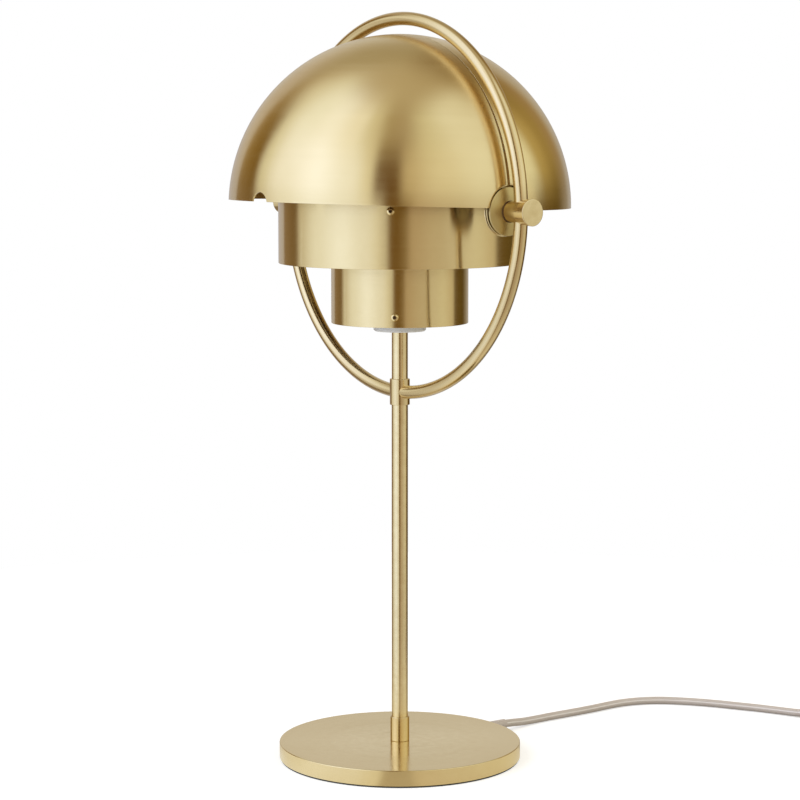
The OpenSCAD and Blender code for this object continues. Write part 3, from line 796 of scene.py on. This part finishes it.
@dataclass
class PhotoCamera:
    """The camera, at the photograph's place and lens."""

    place: Point = (1.3026, -1.0128, 0.4312)
    pitch: float = 83.51
    turn: float = 52.13
    lens: float = 111.84
    sensor: float = 36.0
    nearest: float = 0.05

    def build(self) -> Object:
        """Create the camera and make it the scene's own.

        Returns:
            The camera.
        """
        data = bpy.data.cameras.new("photo camera")
        data.lens = self.lens
        data.sensor_width = self.sensor
        data.clip_start = self.nearest
        obj = bpy.data.objects.new("photo_camera", data)
        obj.location = self.place
        obj.rotation_euler = (math.radians(self.pitch), 0, math.radians(self.turn))
        bpy.context.scene.collection.objects.link(obj)
        bpy.context.scene.camera = obj
        return obj


@dataclass
class PowerCord:
    """The cord from the base, through its switch, round the stored coil and into its plug."""

    diameter: float = 5.4
    exit: Point = (-9.728, 101.033, 5.3)
    switch_at: tuple[float, float] = (152, 300)
    switch_half: float = 34
    switch_z: float = 6
    coil_at: tuple[float, float] = (262, 259.1)
    coil_core: float = 21.7
    coil_turns: float = 6.5
    coil_gap: float = 0.5
    coil_lift: float = 0.9
    coil_rings: int = 24
    plug_at: tuple[float, float] = (196, 218)
    plug_z: float = 7
    straight: float = 6
    groove: float = 0.22
    groove_lean: float = 20
    groove_steepness: float = 5
    sides: int = 24
    lead: tuple[Point, ...] = (
        (-12.5, 120, 3.4), (-14, 134, 2.7), (-14, 148, 2.7), (-13.5, 162, 2.7), (-13, 176, 2.7),
        (-13, 190, 2.7), (-13.5, 204, 2.7), (-13, 218, 2.7), (-9, 232, 2.7), (-2, 244, 2.7),
        (8, 254, 2.7), (20, 263, 2.7), (33, 271, 2.7), (47, 278, 2.7), (61, 285, 2.7),
        (75, 291, 2.7), (89, 296, 3), (101, 299, 4.4),
    )

    def coil_point(self, turn: float) -> Vector:
        """Find a point on the coil.

        Args:
            turn: Turns from the coil's outer start.

        Returns:
            The point, which goes in on the floor, up, and out.
        """
        pitch = self.diameter + self.coil_gap
        middle = self.coil_turns / 2
        radius = self.coil_core + pitch * abs(turn - middle)
        # The cord climbs to the upper layer over the half turn in the middle
        rise = min(1.0, max(0.0, (turn - middle) * 2 + 0.5))
        angle = math.radians(90 - 360 * turn)
        return Vector((
            self.coil_at[0] + radius * math.cos(angle),
            self.coil_at[1] + radius * math.sin(angle),
            self.diameter / 2 + self.coil_lift + pitch * rise,
        ))

    def route(self) -> list[Vector]:
        """List the points of the whole centreline.

        Returns:
            Points in millimetres, from the base to the plug.
        """
        start, out = Vector(self.exit), Vector((-0.6, 5.97, -0.4))
        x, y, z = *self.switch_at, self.switch_z
        half, past = self.switch_half, self.switch_half + self.straight
        at_switch = [Vector((x + along, y, z)) for along in (-past, -half, 0, half, past)]
        steps = int(self.coil_turns * self.coil_rings)
        coil = [self.coil_point(i / self.coil_rings) for i in range(steps + 1)]
        first, last = coil[0], coil[-1]
        back, more = Vector((self.diameter, 0, 0)), Vector((self.straight, 0, 0))
        to_coil = [(204, 300, 4.6), (222, 300, 2.7), (first.x - self.diameter - 12, 300, first.z)]
        px, py, pz = *self.plug_at, self.plug_z
        to_plug = [(last.x - self.diameter - 16, 218.1, 7.6), (px + 32, py, pz), (px + 26, py, pz)]
        return [
            start, start + out, *map(Vector, self.lead), *at_switch, *map(Vector, to_coil),
            first - back - more, first - back, *coil, last - back, last - back - more,
            *map(Vector, to_plug),
        ]

    @staticmethod
    def smooth(points: Sequence[Vector], step: float = 3.0) -> list[Vector]:
        """Return closer points on a curve through the given ones.

        Args:
            points: Route points in millimetres.
            step: Distance between the new points.

        Returns:
            Points on a centripetal spline.
        """
        ends = [points[0] * 2 - points[1], *points, points[-1] * 2 - points[-2]]
        out = [points[0]]
        for a, b, c, d in zip(ends, ends[1:], ends[2:], ends[3:]):
            count = max(1, round((c - b).length / step))
            ta = math.sqrt((b - a).length)
            tb = math.sqrt((c - b).length)
            tc = math.sqrt((d - c).length)
            m1 = (b - a) / ta - (c - a) / (ta + tb) + (c - b) / tb
            m2 = (c - b) / tb - (d - b) / (tb + tc) + (d - c) / tc
            for i in range(1, count + 1):
                t = i / count
                over = t * t * (3 - 2 * t)
                leaving, coming = t * (1 - t) ** 2, t * t * (t - 1)
                out.append(b * (1 - over) + c * over + (m1 * leaving + m2 * coming) * tb)
        return out

    def section(self, angle: float) -> float:
        """Return the cord's radius, with a shallow groove along both sides."""
        slope = abs(math.sin(angle - math.radians(self.groove_lean))) * self.groove_steepness
        return self.diameter / 2 - self.groove * max(0.0, 1 - slope)

    def build(self, finishes: Finishes) -> Object:
        """Args:
            finishes: The lamp's materials.

        Returns:
            The cord.
        """
        path = self.smooth(self.route())
        cord = MeshMaker.sweep("power_cord", path, self.section, self.sides)
        stretches = ("cord_lead", "cord_tail", "cord_coil", "cord_end")
        stand_for(cord, "lamp", "cord_taupe", stretches, finishes["cord_taupe"])
        length = sum((b - a).length for a, b in zip(path, path[1:])) * MM
        on_it = ["switch_base", "switch_cover", "switch_rocker"]
        on_it += ["cord_tie", "plug_body", "plug_pins"]
        [c * MM for c in self.exit]
        LOG.info("cord of %.2f m", length)
        return cord


@dataclass
class Studio:
    """A pale floor, a banded studio round the lamp and two soft lamps."""

    floor_radius: float = 0.8
    floor_drop: float = 0.0002
    floor_colour: Colour = (0.62, 0.62, 0.62)
    key_power: float = 11.0
    top_power: float = 14.0
    # Turn of the ramps that puts their zero at the front of the room, where the camera is
    front: float = 142.13
    # Light round the lamp at three heights: degrees from the front of the room, and the colour
    low: Stops = (
        (-180, (0.50, 0.47, 0.48)), (-149, (0.50, 0.47, 0.48)), (-137, (0.26, 0.18, 0.10)),
        (-115, (0.20, 0.13, 0.06)), (-108, (0.64, 0.61, 0.54)), (-84, (0.90, 0.95, 1.00)),
        (-55, (1.05, 1.15, 1.36)), (-30, (0.92, 0.97, 1.06)), (-14, (0.80, 0.79, 0.72)),
        (-8, (0.18, 0.10, 0.02)), (4, (0.18, 0.10, 0.02)), (12, (0.48, 0.38, 0.27)),
        (40, (0.54, 0.47, 0.36)), (54, (0.62, 0.57, 0.46)), (78, (0.69, 0.66, 0.54)),
        (99, (0.60, 0.53, 0.39)), (107, (0.11, 0.06, 0.01)), (130, (0.10, 0.06, 0.01)),
        (147, (0.28, 0.24, 0.19)), (158, (0.42, 0.39, 0.37)),
    )
    middle: Stops = (
        (-180, (0.66, 0.63, 0.58)), (-154, (0.58, 0.52, 0.46)), (-142, (0.36, 0.25, 0.10)),
        (-130, (0.27, 0.17, 0.05)), (-120, (0.20, 0.11, 0.01)), (-110, (0.86, 0.88, 0.82)),
        (-90, (1.12, 1.22, 1.52)), (-62, (1.26, 1.40, 1.86)), (-34, (1.06, 1.14, 1.32)),
        (-21, (0.86, 0.84, 0.72)), (-15, (0.12, 0.05, 0.0)), (-3, (0.12, 0.05, 0.0)),
        (5, (0.66, 0.57, 0.40)), (30, (0.84, 0.81, 0.67)), (60, (0.93, 0.96, 0.90)),
        (103, (0.90, 0.92, 0.78)), (117, (0.52, 0.41, 0.17)), (132, (0.38, 0.28, 0.10)),
        (145, (0.37, 0.26, 0.12)), (160, (0.50, 0.45, 0.38)),
    )
    high: Stops = (
        (-180, (0.42, 0.36, 0.24)), (-142, (0.49, 0.40, 0.26)), (-120, (0.84, 0.85, 0.80)),
        (-97, (1.06, 1.17, 1.36)), (-70, (1.15, 1.26, 1.55)), (-42, (1.04, 1.08, 1.14)),
        (-26, (0.76, 0.74, 0.60)), (-10, (0.44, 0.36, 0.22)), (6, (0.46, 0.38, 0.26)),
        (24, (0.74, 0.72, 0.56)), (54, (0.92, 0.95, 0.92)), (84, (0.88, 0.90, 0.84)),
        (112, (0.44, 0.34, 0.18)), (130, (0.28, 0.20, 0.09)), (152, (0.27, 0.19, 0.09)),
    )
    ceiling: Colour = (0.54, 0.47, 0.34)
    floor_light: float = 0.55
    floor_reflected: float = 0.8
    floor_mirror_dim: float = 0.15
    floor_near: Colour = (1.06, 0.98, 0.76)
    floor_near_share: float = 0.42
    # Share of that near colour within the first distance in metres, none past the second
    floor_near_fade: tuple[float, float] = (0.12, 0.35)
    # Heights of a direction between which each band of light goes over into the next
    rises: tuple[tuple[float, float], ...] = ((-0.04, 0.24), (0.42, 0.78), (0.88, 0.99))

    def _floor(self) -> None:
        """Make the round floor, white to the camera and with the low light in reflections."""
        reach = self.floor_radius / MM
        ring = [(reach * math.cos(a), reach * math.sin(a), 0.0) for a in turns(96)]
        floor = MeshMaker.make("floor", ring, [range(len(ring))])
        floor.modifiers.clear()
        floor.location.z = -self.floor_drop
        s = Surface("pale floor")
        where = s.place(Grain.PLAIN)
        away = s.add("ShaderNodeVectorMath", {0: where}, operation="LENGTH").outputs["Value"]
        close = s.span(away, self.floor_near_share, 0.0, *self.floor_near_fade)
        around = s.mix(close, self._turned_ramp(s, where, self.low), self.floor_near)
        rays = s.add("ShaderNodeLightPath").outputs
        glossy = rays["Is Glossy Ray"]
        direct = s.math("MULTIPLY", self._seen(s, rays), self.floor_light)
        dim = tuple(c * self.floor_mirror_dim for c in self.floor_colour)
        s.set(
            Roughness=0.9, Specular_IOR_Level=0.0,
            Base_Color=s.mix(glossy, self.floor_colour, dim),
            Emission_Color=s.mix(glossy, WHITE, around),
            Emission_Strength=s.math("MULTIPLY_ADD", glossy, self.floor_reflected, direct),
        )
        floor.data.materials.append(s.material)
        floor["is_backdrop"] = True

    def _world(self) -> None:
        """Make the studio's walls, white to the camera and through glass."""
        world = bpy.data.worlds.new("studio")
        bpy.context.scene.world = world
        world.use_nodes = True
        make = NodeMaker(world.node_tree)
        make.tree.nodes.clear()
        where = make.add("ShaderNodeTexCoord").outputs["Generated"]
        height = make.add("ShaderNodeSeparateXYZ", {0: where}).outputs["Z"]
        bands = [self._turned_ramp(make, where, s) for s in (self.low, self.middle, self.high)]
        level = bands[0]
        for above, (start, stop) in zip((*bands[1:], self.ceiling), self.rises):
            level = make.mix(make.span(height, 0, 1, start, stop, "SMOOTHSTEP"), level, above)
        around = make.add("ShaderNodeBackground", {"Color": level}).outputs[0]
        white = make.add("ShaderNodeBackground", {"Color": (*WHITE, 1)}).outputs[0]
        seen = self._seen(make, make.add("ShaderNodeLightPath").outputs)
        both = make.add("ShaderNodeMixShader", {0: seen, 1: around, 2: white}).outputs[0]
        make.add("ShaderNodeOutputWorld", {"Surface": both})

    @staticmethod
    def _seen(make: NodeMaker, rays: NodeOutputs) -> NodeSocket:
        """Return 1 for rays from the camera and through glass."""
        return make.math("MAXIMUM", rays["Is Camera Ray"], rays["Is Transmission Ray"])

    def _turned_ramp(self, make: NodeMaker, where: NodeSocket, stops: Stops) -> NodeSocket:
        """Add a ramp that goes round the Z axis.

        Args:
            make: Maker of the tree's nodes.
            where: Position or direction.
            stops: Degrees from the front of the room, and the colour.

        Returns:
            The ramp's colour socket.
        """
        axes = make.add("ShaderNodeSeparateXYZ", {0: where}).outputs
        angle = make.math("ARCTAN2", axes["Y"], axes["X"])
        part = make.math("MULTIPLY_ADD", angle, 1 / (2 * math.pi), 0.5)
        band = make.add("ShaderNodeValToRGB", {0: part})
        turned = sorted(((self.front + degrees) / 360 % 1, colour) for degrees, colour in stops)
        ramp = band.color_ramp
        ramp.interpolation = "EASE"
        while len(ramp.elements) > 1:
            ramp.elements.remove(ramp.elements[-1])
        ramp.elements[0].position = turned[0][0]
        ramp.elements[0].color = (*turned[0][1], 1)
        for place, colour in turned[1:]:
            ramp.elements.new(place).color = (*colour, 1)
        return band.outputs[0]

    @staticmethod
    def _lamp(name: str, place: Sequence[float], size: float, power: float) -> None:
        """Add a soft square lamp that looks at the shades and lights only matt surfaces.

        Args:
            name: Object name.
            place: Its place in metres.
            size: Its side in metres.
            power: Its power in watts.
        """
        data = bpy.data.lights.new(name, "AREA")
        data.size = size
        data.energy = power
        obj = bpy.data.objects.new(name, data)
        obj.location = place
        aim = Vector((0, 0, 0.2)) - obj.location
        obj.rotation_euler = aim.to_track_quat("-Z", "Y").to_euler()
        obj.visible_glossy = False
        bpy.context.scene.collection.objects.link(obj)

    def build(self) -> None:
        """Make the floor, the walls and the lamps."""
        bpy.context.scene.view_settings.view_transform = "Standard"
        self._floor()
        self._world()
        self._lamp("key_lamp", place=(0.2, -1.7, 1.5), size=1.2, power=self.key_power)
        self._lamp("top_lamp", place=(0.3, 0.2, 2.2), size=1.6, power=self.top_power)


# ---------------------------------------------------------------- the lamp's own pieces


@dataclass
class Base:
    """The flat round base, its collar, the stem, the tee and the upper stem."""

    radius: float = 81.5
    height: float = 11.5
    wall: float = 1.2
    pad: float = 1.0
    hole: float = 4.42
    hole_rim: float = 5.0
    edge_round: float = 0.6
    collar_radius: float = 6.45
    collar_bore: float = 5.52
    collar_height: float = 16.7
    collar_gap: float = 0.02
    collar_round: float = 0.45
    stem_radius: float = 5.5
    stem_in_collar: float = 7.9
    stem_in_tee: float = 3.8
    stem_in_holder: float = 8.0
    stem_wall: float = 1.0
    upper_radius: float = 5.4
    tee_radius: float = 6.7
    tee_z: float = 249.2
    tee_height: float = 17.4
    tee_round: float = 0.4
    holder_low: float = 290.0

    def build(self, finishes: Finishes) -> None:
        """Make and dress the turned pieces of the base and stem.

        Args:
            finishes: The lamp's materials.
        """
        inside, top, hole = self.radius - self.wall, self.height, self.hole
        disc = rounded(
            [(hole, top), (hole, top - self.wall), (inside, top - self.wall), (inside, self.pad),
             (self.radius, self.pad), (self.radius, top), (self.hole_rim, top), (hole, top)],
            self.edge_round, 4,
        )
        cover = MeshMaker.lathe("base_disc", disc, segments=256)
        stand_for(cover, "lamp", "brass", ["base_cover"], finishes["brass_base"])
        foot = self._sleeve(
            self.collar_bore, self.collar_radius, top + self.collar_gap,
            top + self.collar_height, self.collar_round,
        )
        tee_low = self.tee_z - self.tee_height / 2
        tee_high = tee_low + self.tee_height
        stem = self._tube(
            self.stem_radius, top + self.collar_height - self.stem_in_collar,
            tee_low + self.stem_in_tee,
        )
        tee = self._sleeve(self.stem_radius, self.tee_radius, tee_low, tee_high, self.tee_round)
        upper = self._tube(
            self.upper_radius, tee_high - self.stem_in_tee, self.holder_low + self.stem_in_holder
        )
        for name, node, outline in (
            ("stem_foot", "foot_collar", foot), ("stem", "stem_tube", stem),
            ("stem_tee", "tee_collar", tee), ("stem_top", "upper_stem", upper),
        ):
            piece = MeshMaker.lathe(name, outline, segments=96)
            stand_for(piece, "lamp", "brass", [node], finishes["brass_tube"])

    @staticmethod
    def _sleeve(bore: float, radius: float, low: float, high: float, bevel: float) -> Profile:
        """Return the outline of a collar with softened ends, on a stem in its bore."""
        corners = [(bore, low + 1), (bore, low), (radius, low), (radius, high), (bore, high)]
        return rounded([*corners, (bore, high - 1)], bevel, 4)

    def _tube(self, radius: float, low: float, high: float) -> Profile:
        """Return the outline of a straight tube."""
        inside = radius - self.stem_wall
        return [(inside, low), (radius, low), (radius, high), (inside, high)]


@dataclass
class Hoop:
    """The ring that carries the shades, and its two knobs and washers."""

    radius: float = 123.2
    tube: float = 4.4
    gap: float = 4.02
    steps: int = 360
    sides: int = 40
    grain_step: float = 2.1
    bolt: float = 3.1
    washer_x: float = 109.8
    washer_radius: float = 15.4
    washer_thick: float = 3.2
    washer_rim: float = 1.6
    washer_round: float = 0.5
    knob_x: float = 113.0
    knob_small: float = 6.5
    knob_large: float = 8.6
    knob_length: float = 21.4
    knob_round: float = 0.5
    # Thin dark ring at each knob's foot: painted shade for the gap between knob and washer
    painted_shade_ring_inner: float = 6.2
    painted_shade_ring_outer: float = 6.9
    painted_shade_ring_height: float = 0.7
    painted_shade_ring_round: float = 0.15

    def build(self, finishes: Finishes) -> None:
        """Make and dress the ring, knobs, washers and the painted shade rings between them.

        Args:
            finishes: The lamp's materials.
        """
        tube = finishes["brass_tube"]
        stand_for(self._ring(), "lamp", "brass", ["ring"], tube)
        x, end = self.knob_x, self.knob_x + self.knob_length
        corners = [(0, x), (self.knob_small, x), (self.knob_large, end), (0, end)]
        knob = rounded(corners, self.knob_round, 4)
        for side, word in ((1, "near"), (-1, "far")):
            pivot = along_x(side)
            piece = MeshMaker.lathe(f"pivot_knob_{word}", knob, pivot, segments=96, closed=False)
            stand_for(piece, "lamp", "brass", [f"knob_{word}"], tube)
            piece = MeshMaker.lathe(
                f"pivot_washer_{word}", self._washer_outline(), pivot, segments=128, sharp=60
            )
            stand_for(piece, "lamp", "brass", [f"washer_{word}"], finishes["brass_washer"])
            # The dark ring at the knob's foot is painted shade, in the brown of the shade there
            outline = self._painted_shade_ring_outline()
            piece = MeshMaker.lathe(f"knob_painted_shade_ring_{word}", outline, pivot, segments=96)
            stand_for(piece, "lamp", "nylon", [], finishes["groove"])

    def _painted_shade_ring_outline(self) -> Profile:
        """Outline the thin ring of painted shade round a knob's foot.

        Returns:
            Radius and height pairs, from the middle of its inner side round.
        """
        low, high = self.knob_x, self.knob_x + self.painted_shade_ring_height
        start, outside = (self.painted_shade_ring_inner, (low + high) / 2), self.painted_shade_ring_outer
        corners = [(self.painted_shade_ring_inner, low), (outside, low), (outside, high)]
        corners = [start, *corners, (self.painted_shade_ring_inner, high), start]
        return rounded(corners, self.painted_shade_ring_round, 2)[:-1]

    def _washer_outline(self) -> Profile:
        """Outline the domed washer, thick at the knob and thin at its round rim.

        Returns:
            Radius and height pairs.
        """
        low, high = self.washer_x, self.washer_x + self.washer_thick
        drop = self.washer_thick - self.washer_rim
        flat, edge, steps = self.knob_small + 0.5, self.washer_radius - 0.1, 12
        crown = []
        for i in range(steps + 1):
            t = i / steps
            crown.append((edge + (flat - edge) * t, high - drop * (1 - t) ** 2))
        rim = rounded(
            [(self.bolt, low), (self.washer_radius, low),
             (self.washer_radius, low + self.washer_rim), crown[1]],
            self.washer_round, 4,
        )
        return [*rim, *crown[2:], (self.bolt, high)]

    def _ring(self) -> Object:
        """Sweep the tube round its centre in the XZ plane, from the tee and back to it.

        Returns:
            The ring.
        """
        cut = math.asin(self.gap / self.radius)
        verts, uvs = [], []
        for i in range(self.steps + 1):
            around = cut - math.pi / 2 + (2 * math.pi - 2 * cut) * i / self.steps
            for angle in turns(self.sides):
                r = self.radius + self.tube * math.cos(angle)
                y = self.tube * math.sin(angle)
                verts.append((r * math.cos(around), y, PIVOT_Z + r * math.sin(around)))
                uvs.append((angle * self.tube * MM, i * self.grain_step * MM))
        faces = grid_faces(self.steps + 1, self.sides)
        return MeshMaker.make("ring_tube", verts, faces, uvs)


@dataclass
class QuarterShade:
    """One quarter-sphere shade: a shell with a seat and an ear at each pole, and a notch."""

    name: str
    node: str
    body: str
    back: bool
    edge_gap: float
    ear_x: float
    tilt: float
    ear_radius: float
    radius: float = 113.2
    wall: float = 1.0
    seat_slope: float = 7.0
    seat_round: float = 1.4
    # Angles at the centre in radians: what the seat's rounding takes, and on to the next point
    seat_blend: float = 0.03
    seat_step: float = 0.01
    notch: float = 8.0
    bolt: float = 3.06
    cut_edge: float = 0.22
    ear_edge: float = 0.25
    steps: int = 110
    arc_steps: int = 150
    notch_steps: int = 24

    def _outline(self, inner: bool) -> Profile:
        """Return distance along the pivot axis and distance from it, from one ear to the other.

        Args:
            inner: Whether this is the shell's inner side.

        Returns:
            Points from the seat at +X over the sphere to the seat at -X.
        """
        wall = self.wall if inner else 0
        r, x0, p0 = self.radius - wall, self.ear_x - wall, self.ear_radius
        rise = math.tan(math.radians(self.seat_slope))
        p0 += wall * math.tan(math.radians(45 - self.seat_slope / 2))
        # Where the seat's cone, which starts at the ear, meets the sphere
        a, b, c = 1 + rise * rise, x0 + rise * p0, x0 * x0 + p0 * p0 - r * r
        t = (-b + math.sqrt(b * b - a * c)) / a
        start = math.atan2(p0 + rise * t, x0 + t)
        on = start + self.seat_blend
        corner = [(x0, p0), (x0 + t, p0 + rise * t), (r * math.cos(on), r * math.sin(on))]
        seat = rounded(corner, self.seat_round - wall, 7)
        low = math.asin(self.edge_gap / self.notch)
        first = on + self.seat_step
        span = math.pi - 2 * first
        angles = [first + span * i / self.arc_steps for i in range(self.arc_steps + 1)]
        angles = [a for a in angles if abs(r * math.cos(a)) > self.notch]
        for i in range(self.notch_steps + 1):
            x = self.notch * math.cos(low + (math.pi - 2 * low) * i / self.notch_steps)
            angles.append(math.acos(x / r))
        body = [(r * math.cos(a), r * math.sin(a)) for a in sorted(angles)]
        return seat + body + [(-x, p) for x, p in reversed(seat)]

    def _grid(self, inner: bool) -> list[Vector]:
        """Place the points of one side of the shell.

        Args:
            inner: Whether this is the shell's inner side.

        Returns:
            Points in rows from the cut edge to the rim.
        """
        points = []
        for x, rho in self._outline(inner):
            low = self.edge_gap
            if abs(x) < self.notch:
                low = max(low, math.sqrt(self.notch**2 - x * x))
            first = math.asin(min(1, low / rho))
            last = math.acos(min(1, self.edge_gap / rho))
            for j in range(self.steps + 1):
                t = first + (last - first) * j / self.steps
                points.append(Vector((x, -rho * math.cos(t), rho * math.sin(t))))
        return points

    def _ears(self) -> tuple[list[Vector], list[Sequence[int]], list[int]]:
        """Make the round ears with their bolt holes.

        Returns:
            Points, faces and finish indices.
        """
        points, faces, slots = [], [], []
        edge, wall, r = self.ear_edge, self.wall, self.ear_radius
        ring = [
            (self.bolt, 0.0), (r - edge, 0.0), (r, -edge), (r, edge - wall), (r - edge, -wall),
            (self.bolt, -wall),
        ]
        inner_side, segments = (3, 4), 96
        quads = grid_faces(segments + 1, len(ring))
        for side in (1, -1):
            first = len(points)
            for angle in turns(segments):
                for p, d in ring:
                    y, z = p * math.cos(angle), p * math.sin(angle)
                    points.append(Vector((side * (self.ear_x + d), y, z)))
            total = len(points) - first
            for n, quad in enumerate(quads):
                face = [first + v % total for v in quad]
                faces.append(face[::side])
                slots.append(1 if n % len(ring) in inner_side else 0)
        return points, faces, slots

    def _shell(self) -> tuple[list[Vector], list[Sequence[int]], list[int]]:
        """Make the wall between the outer and the inner side.

        Returns:
            Points, faces and finish indices.
        """
        points = self._grid(False)
        shift, row = len(points), self.steps + 1
        rows = shift // row
        points += self._grid(True)
        faces, slots = [], []
        for a, b, c, d in grid_faces(rows, row, False):
            faces += [(a, b, c, d), (shift + d, shift + c, shift + b, shift + a)]
            slots += [0, 1]
        rims = [
            (i * row + j, (i + 1) * row + j, turned)
            for i in range(rows - 1)
            for j, turned in ((0, False), (row - 1, True))
        ]
        rims += [
            (i * row + j, i * row + j + 1, turned)
            for i, turned in ((0, True), (rows - 1, False))
            for j in range(row - 1)
        ]
        for a, b, turned in rims:
            face = (a, b, shift + b, shift + a)
            faces.append(face[::-1] if turned else face)
            slots.append(0)
        return points, faces, slots

    def _grain(self, p: Vector) -> tuple[float, float]:
        """Place a point on the grain.

        Args:
            p: The point in millimetres.

        Returns:
            U, its way up the shade, and V, its way round the Z axis, in metres.
        """
        flat = math.hypot(p.x, p.y)
        up, around = math.atan2(p.z, flat) * self.radius, math.atan2(p.x, -p.y)
        return up * MM, around * max(30.0, flat) * MM

    def build(self, finishes: Finishes) -> Object:
        """Make and dress the shade.

        Args:
            finishes: The lamp's materials.

        Returns:
            The shade.
        """
        points, faces, slots = self._shell()
        ears, ear_faces, ear_slots = self._ears()
        faces += [[len(points) + v for v in f] for f in ear_faces]
        points += ears
        uvs = [self._grain(p) for p in points]
        if self.back:
            points = [Vector((-p.x, -p.y, p.z)) for p in points]
        turn = Matrix.Rotation(math.radians(-self.tilt), 4, "X")
        place = Matrix.Translation((0, 0, PIVOT_Z)) @ turn
        verts = [place @ p for p in points]
        obj = MeshMaker.make(self.name, verts, faces, uvs, slots + ear_slots, 30)
        soften(obj, self.cut_edge, 2, 40)
        # The bevel comes before the weighting of the normals
        obj.modifiers.move(1, 0)
        # The inside takes the duller brass that is darkened as painted shade
        materials = finishes["brass"], finishes["brass_inside_painted_shade"]
        return stand_for(obj, self.body, "brass", [self.node], *materials)


@dataclass
class Drums:
    """The long inner drum and the outer drum round the bulb."""

    inner_radius: float = 45.6
    inner_low: float = 295.5
    inner_height: float = 153.8
    outer_radius: float = 80.5
    outer_low: float = 335.4
    outer_height: float = 74.0
    wall: float = 0.9
    edge_round: float = 0.3
    paint_margin: float = 0.05

    def build(self, finishes: Finishes) -> None:
        """Make and dress both drums, brass outside and white paint inside.

        Args:
            finishes: The lamp's materials.
        """
        for name, node, radius, low, height in (
            ("drum_inner", "inner_drum", self.inner_radius, self.inner_low, self.inner_height),
            ("drum_outer", "outer_drum", self.outer_radius, self.outer_low, self.outer_height),
        ):
            inside, high = radius - self.wall, low + height
            start = (radius, (low + high) / 2)
            corners = [(radius, high), (inside, high), (inside, low), (radius, low)]
            outline = rounded([start, *corners, start], self.edge_round)[:-1]
            drum = MeshMaker.lathe(name, outline, segments=256)
            for poly in drum.data.polygons:
                away = math.hypot(poly.center.x, poly.center.y) / MM
                poly.material_index = 1 if away < inside + self.paint_margin else 0
            materials = finishes["brass"], finishes["inner_paint"]
            stand_for(drum, "lamp", "brass", [node], *materials)


class SmallParts:
    """The CAD pieces whose shape is right, each with its finish."""

    NODES = {
        "steel": (
            "base_washer", "base_nut", "stem_nipple", "pivot_bolt_near", "pivot_bolt_far",
            "spring_washer_near", "spring_washer_far", "lower_ring", "lower_arms", "middle_band",
            "middle_arms", "spider_rivets", "cord_anchor", "anchor_screws",
        ),
        "pad": ("foot_pad", "cord_tie"),
        "iron": ("base_weight",),
        "nylon": ("friction_discs_near", "friction_discs_far"),
        "brass_small": ("inner_drum_screws", "outer_drum_screws", "socket_shell"),
        "holder_white": ("lamp_holder", "clamp_ring"),
        "nickel": ("bulb_cap", "plug_pins"),
        "bulb_glass": ("bulb_globe",),
        "wire_black": ("stem_wires",),
        "cord_taupe": ("base_lead", "strain_relief"),
        "fitting_taupe": ("switch_base", "switch_cover", "switch_rocker", "plug_body"),
    }
    # Widths of the softened edges
    BEVELS = {
        "switch_cover": 0.8, "switch_base": 0.6, "switch_rocker": 0.5, "plug_body": 1.2,
        "cord_tie": 0.25, "plug_pins": 0.5, "foot_pad": 0.2, "lower_arms": 0.2,
        "middle_arms": 0.2, "lamp_holder": 0.4, "clamp_ring": 0.4,
    }
    # Height of the screws' axes, and their drum's outer radius
    SCREWS = {"inner_drum_screws": (302.4, 45.6), "outer_drum_screws": (PIVOT_Z, 80.5)}
    SCREW_TURNS = (-42, 78, 198)
    RECESS_REACH = 1.0

    def _paint_recess_shade(self, node: Object, height: float, wall: float) -> None:
        """Give the second slot, the painted shade, to the hex recess in each drum screw's head.

        Args:
            node: The screws.
            height: Height of their axes in millimetres.
            wall: Outer radius of their drum in millimetres.
        """
        for poly in node.data.polygons:
            centre = node.matrix_world @ poly.center / MM - Vector((0, 0, height))
            for turn in self.SCREW_TURNS:
                angle = math.radians(turn)
                axis = Vector((math.cos(angle), math.sin(angle), 0))
                along = centre.dot(axis)
                if along > wall and (centre - axis * along).length < self.RECESS_REACH:
                    poly.material_index = 1

    def build(self, finishes: Finishes) -> None:
        """Dress each node, and soften the edges of the moulded ones.

        Args:
            finishes: The lamp's materials.
        """
        slots = {name: slot for slot, names in self.NODES.items() for name in names}
        for name, slot in slots.items():
            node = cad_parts[name]
            materials = [finishes[slot]]
            if name in self.SCREWS:
                for poly in node.data.polygons:
                    poly.material_index = 0
                # The hex recesses take the dark brown painted shade, for the shade that falls in
                # them
                self._paint_recess_shade(node, *self.SCREWS[name])
                materials.append(finishes["groove"])
            set_slots(node, *materials)
            if name in self.BEVELS:
                soften(node, self.BEVELS[name], 3, 35)
            LOG.info("%s dressed in %s", name, slot)


def main() -> None:
    """Build the lamp and its studio in order."""
    logging.basicConfig(level=logging.INFO, format="%(name)s: %(message)s")
    PhotoCamera().build()
    effects = Effects()
    finishes = {key: finish.build(effects) for key, finish in FINISHES.items()}
    front = QuarterShade(
        "shade_front", "front_shade", "front", back=False,
        edge_gap=2.0, ear_x=108.6, tilt=1.8, ear_radius=15.6,
    )
    back = QuarterShade(
        "shade_back", "back_shade", "back", back=True,
        edge_gap=0.4, ear_x=107.0, tilt=0.8, ear_radius=15.9,
    )
    for part in (PowerCord(), Base(), Hoop(), front, back, Drums(), SmallParts()):
        part.build(finishes)
    Studio().build()
    boxes = {"cad": CAD_BOUNDS, "visual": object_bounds()}
    {key: [list(corner) for corner in box] for key, box in boxes.items()}


if __name__ == "__main__":
    main()
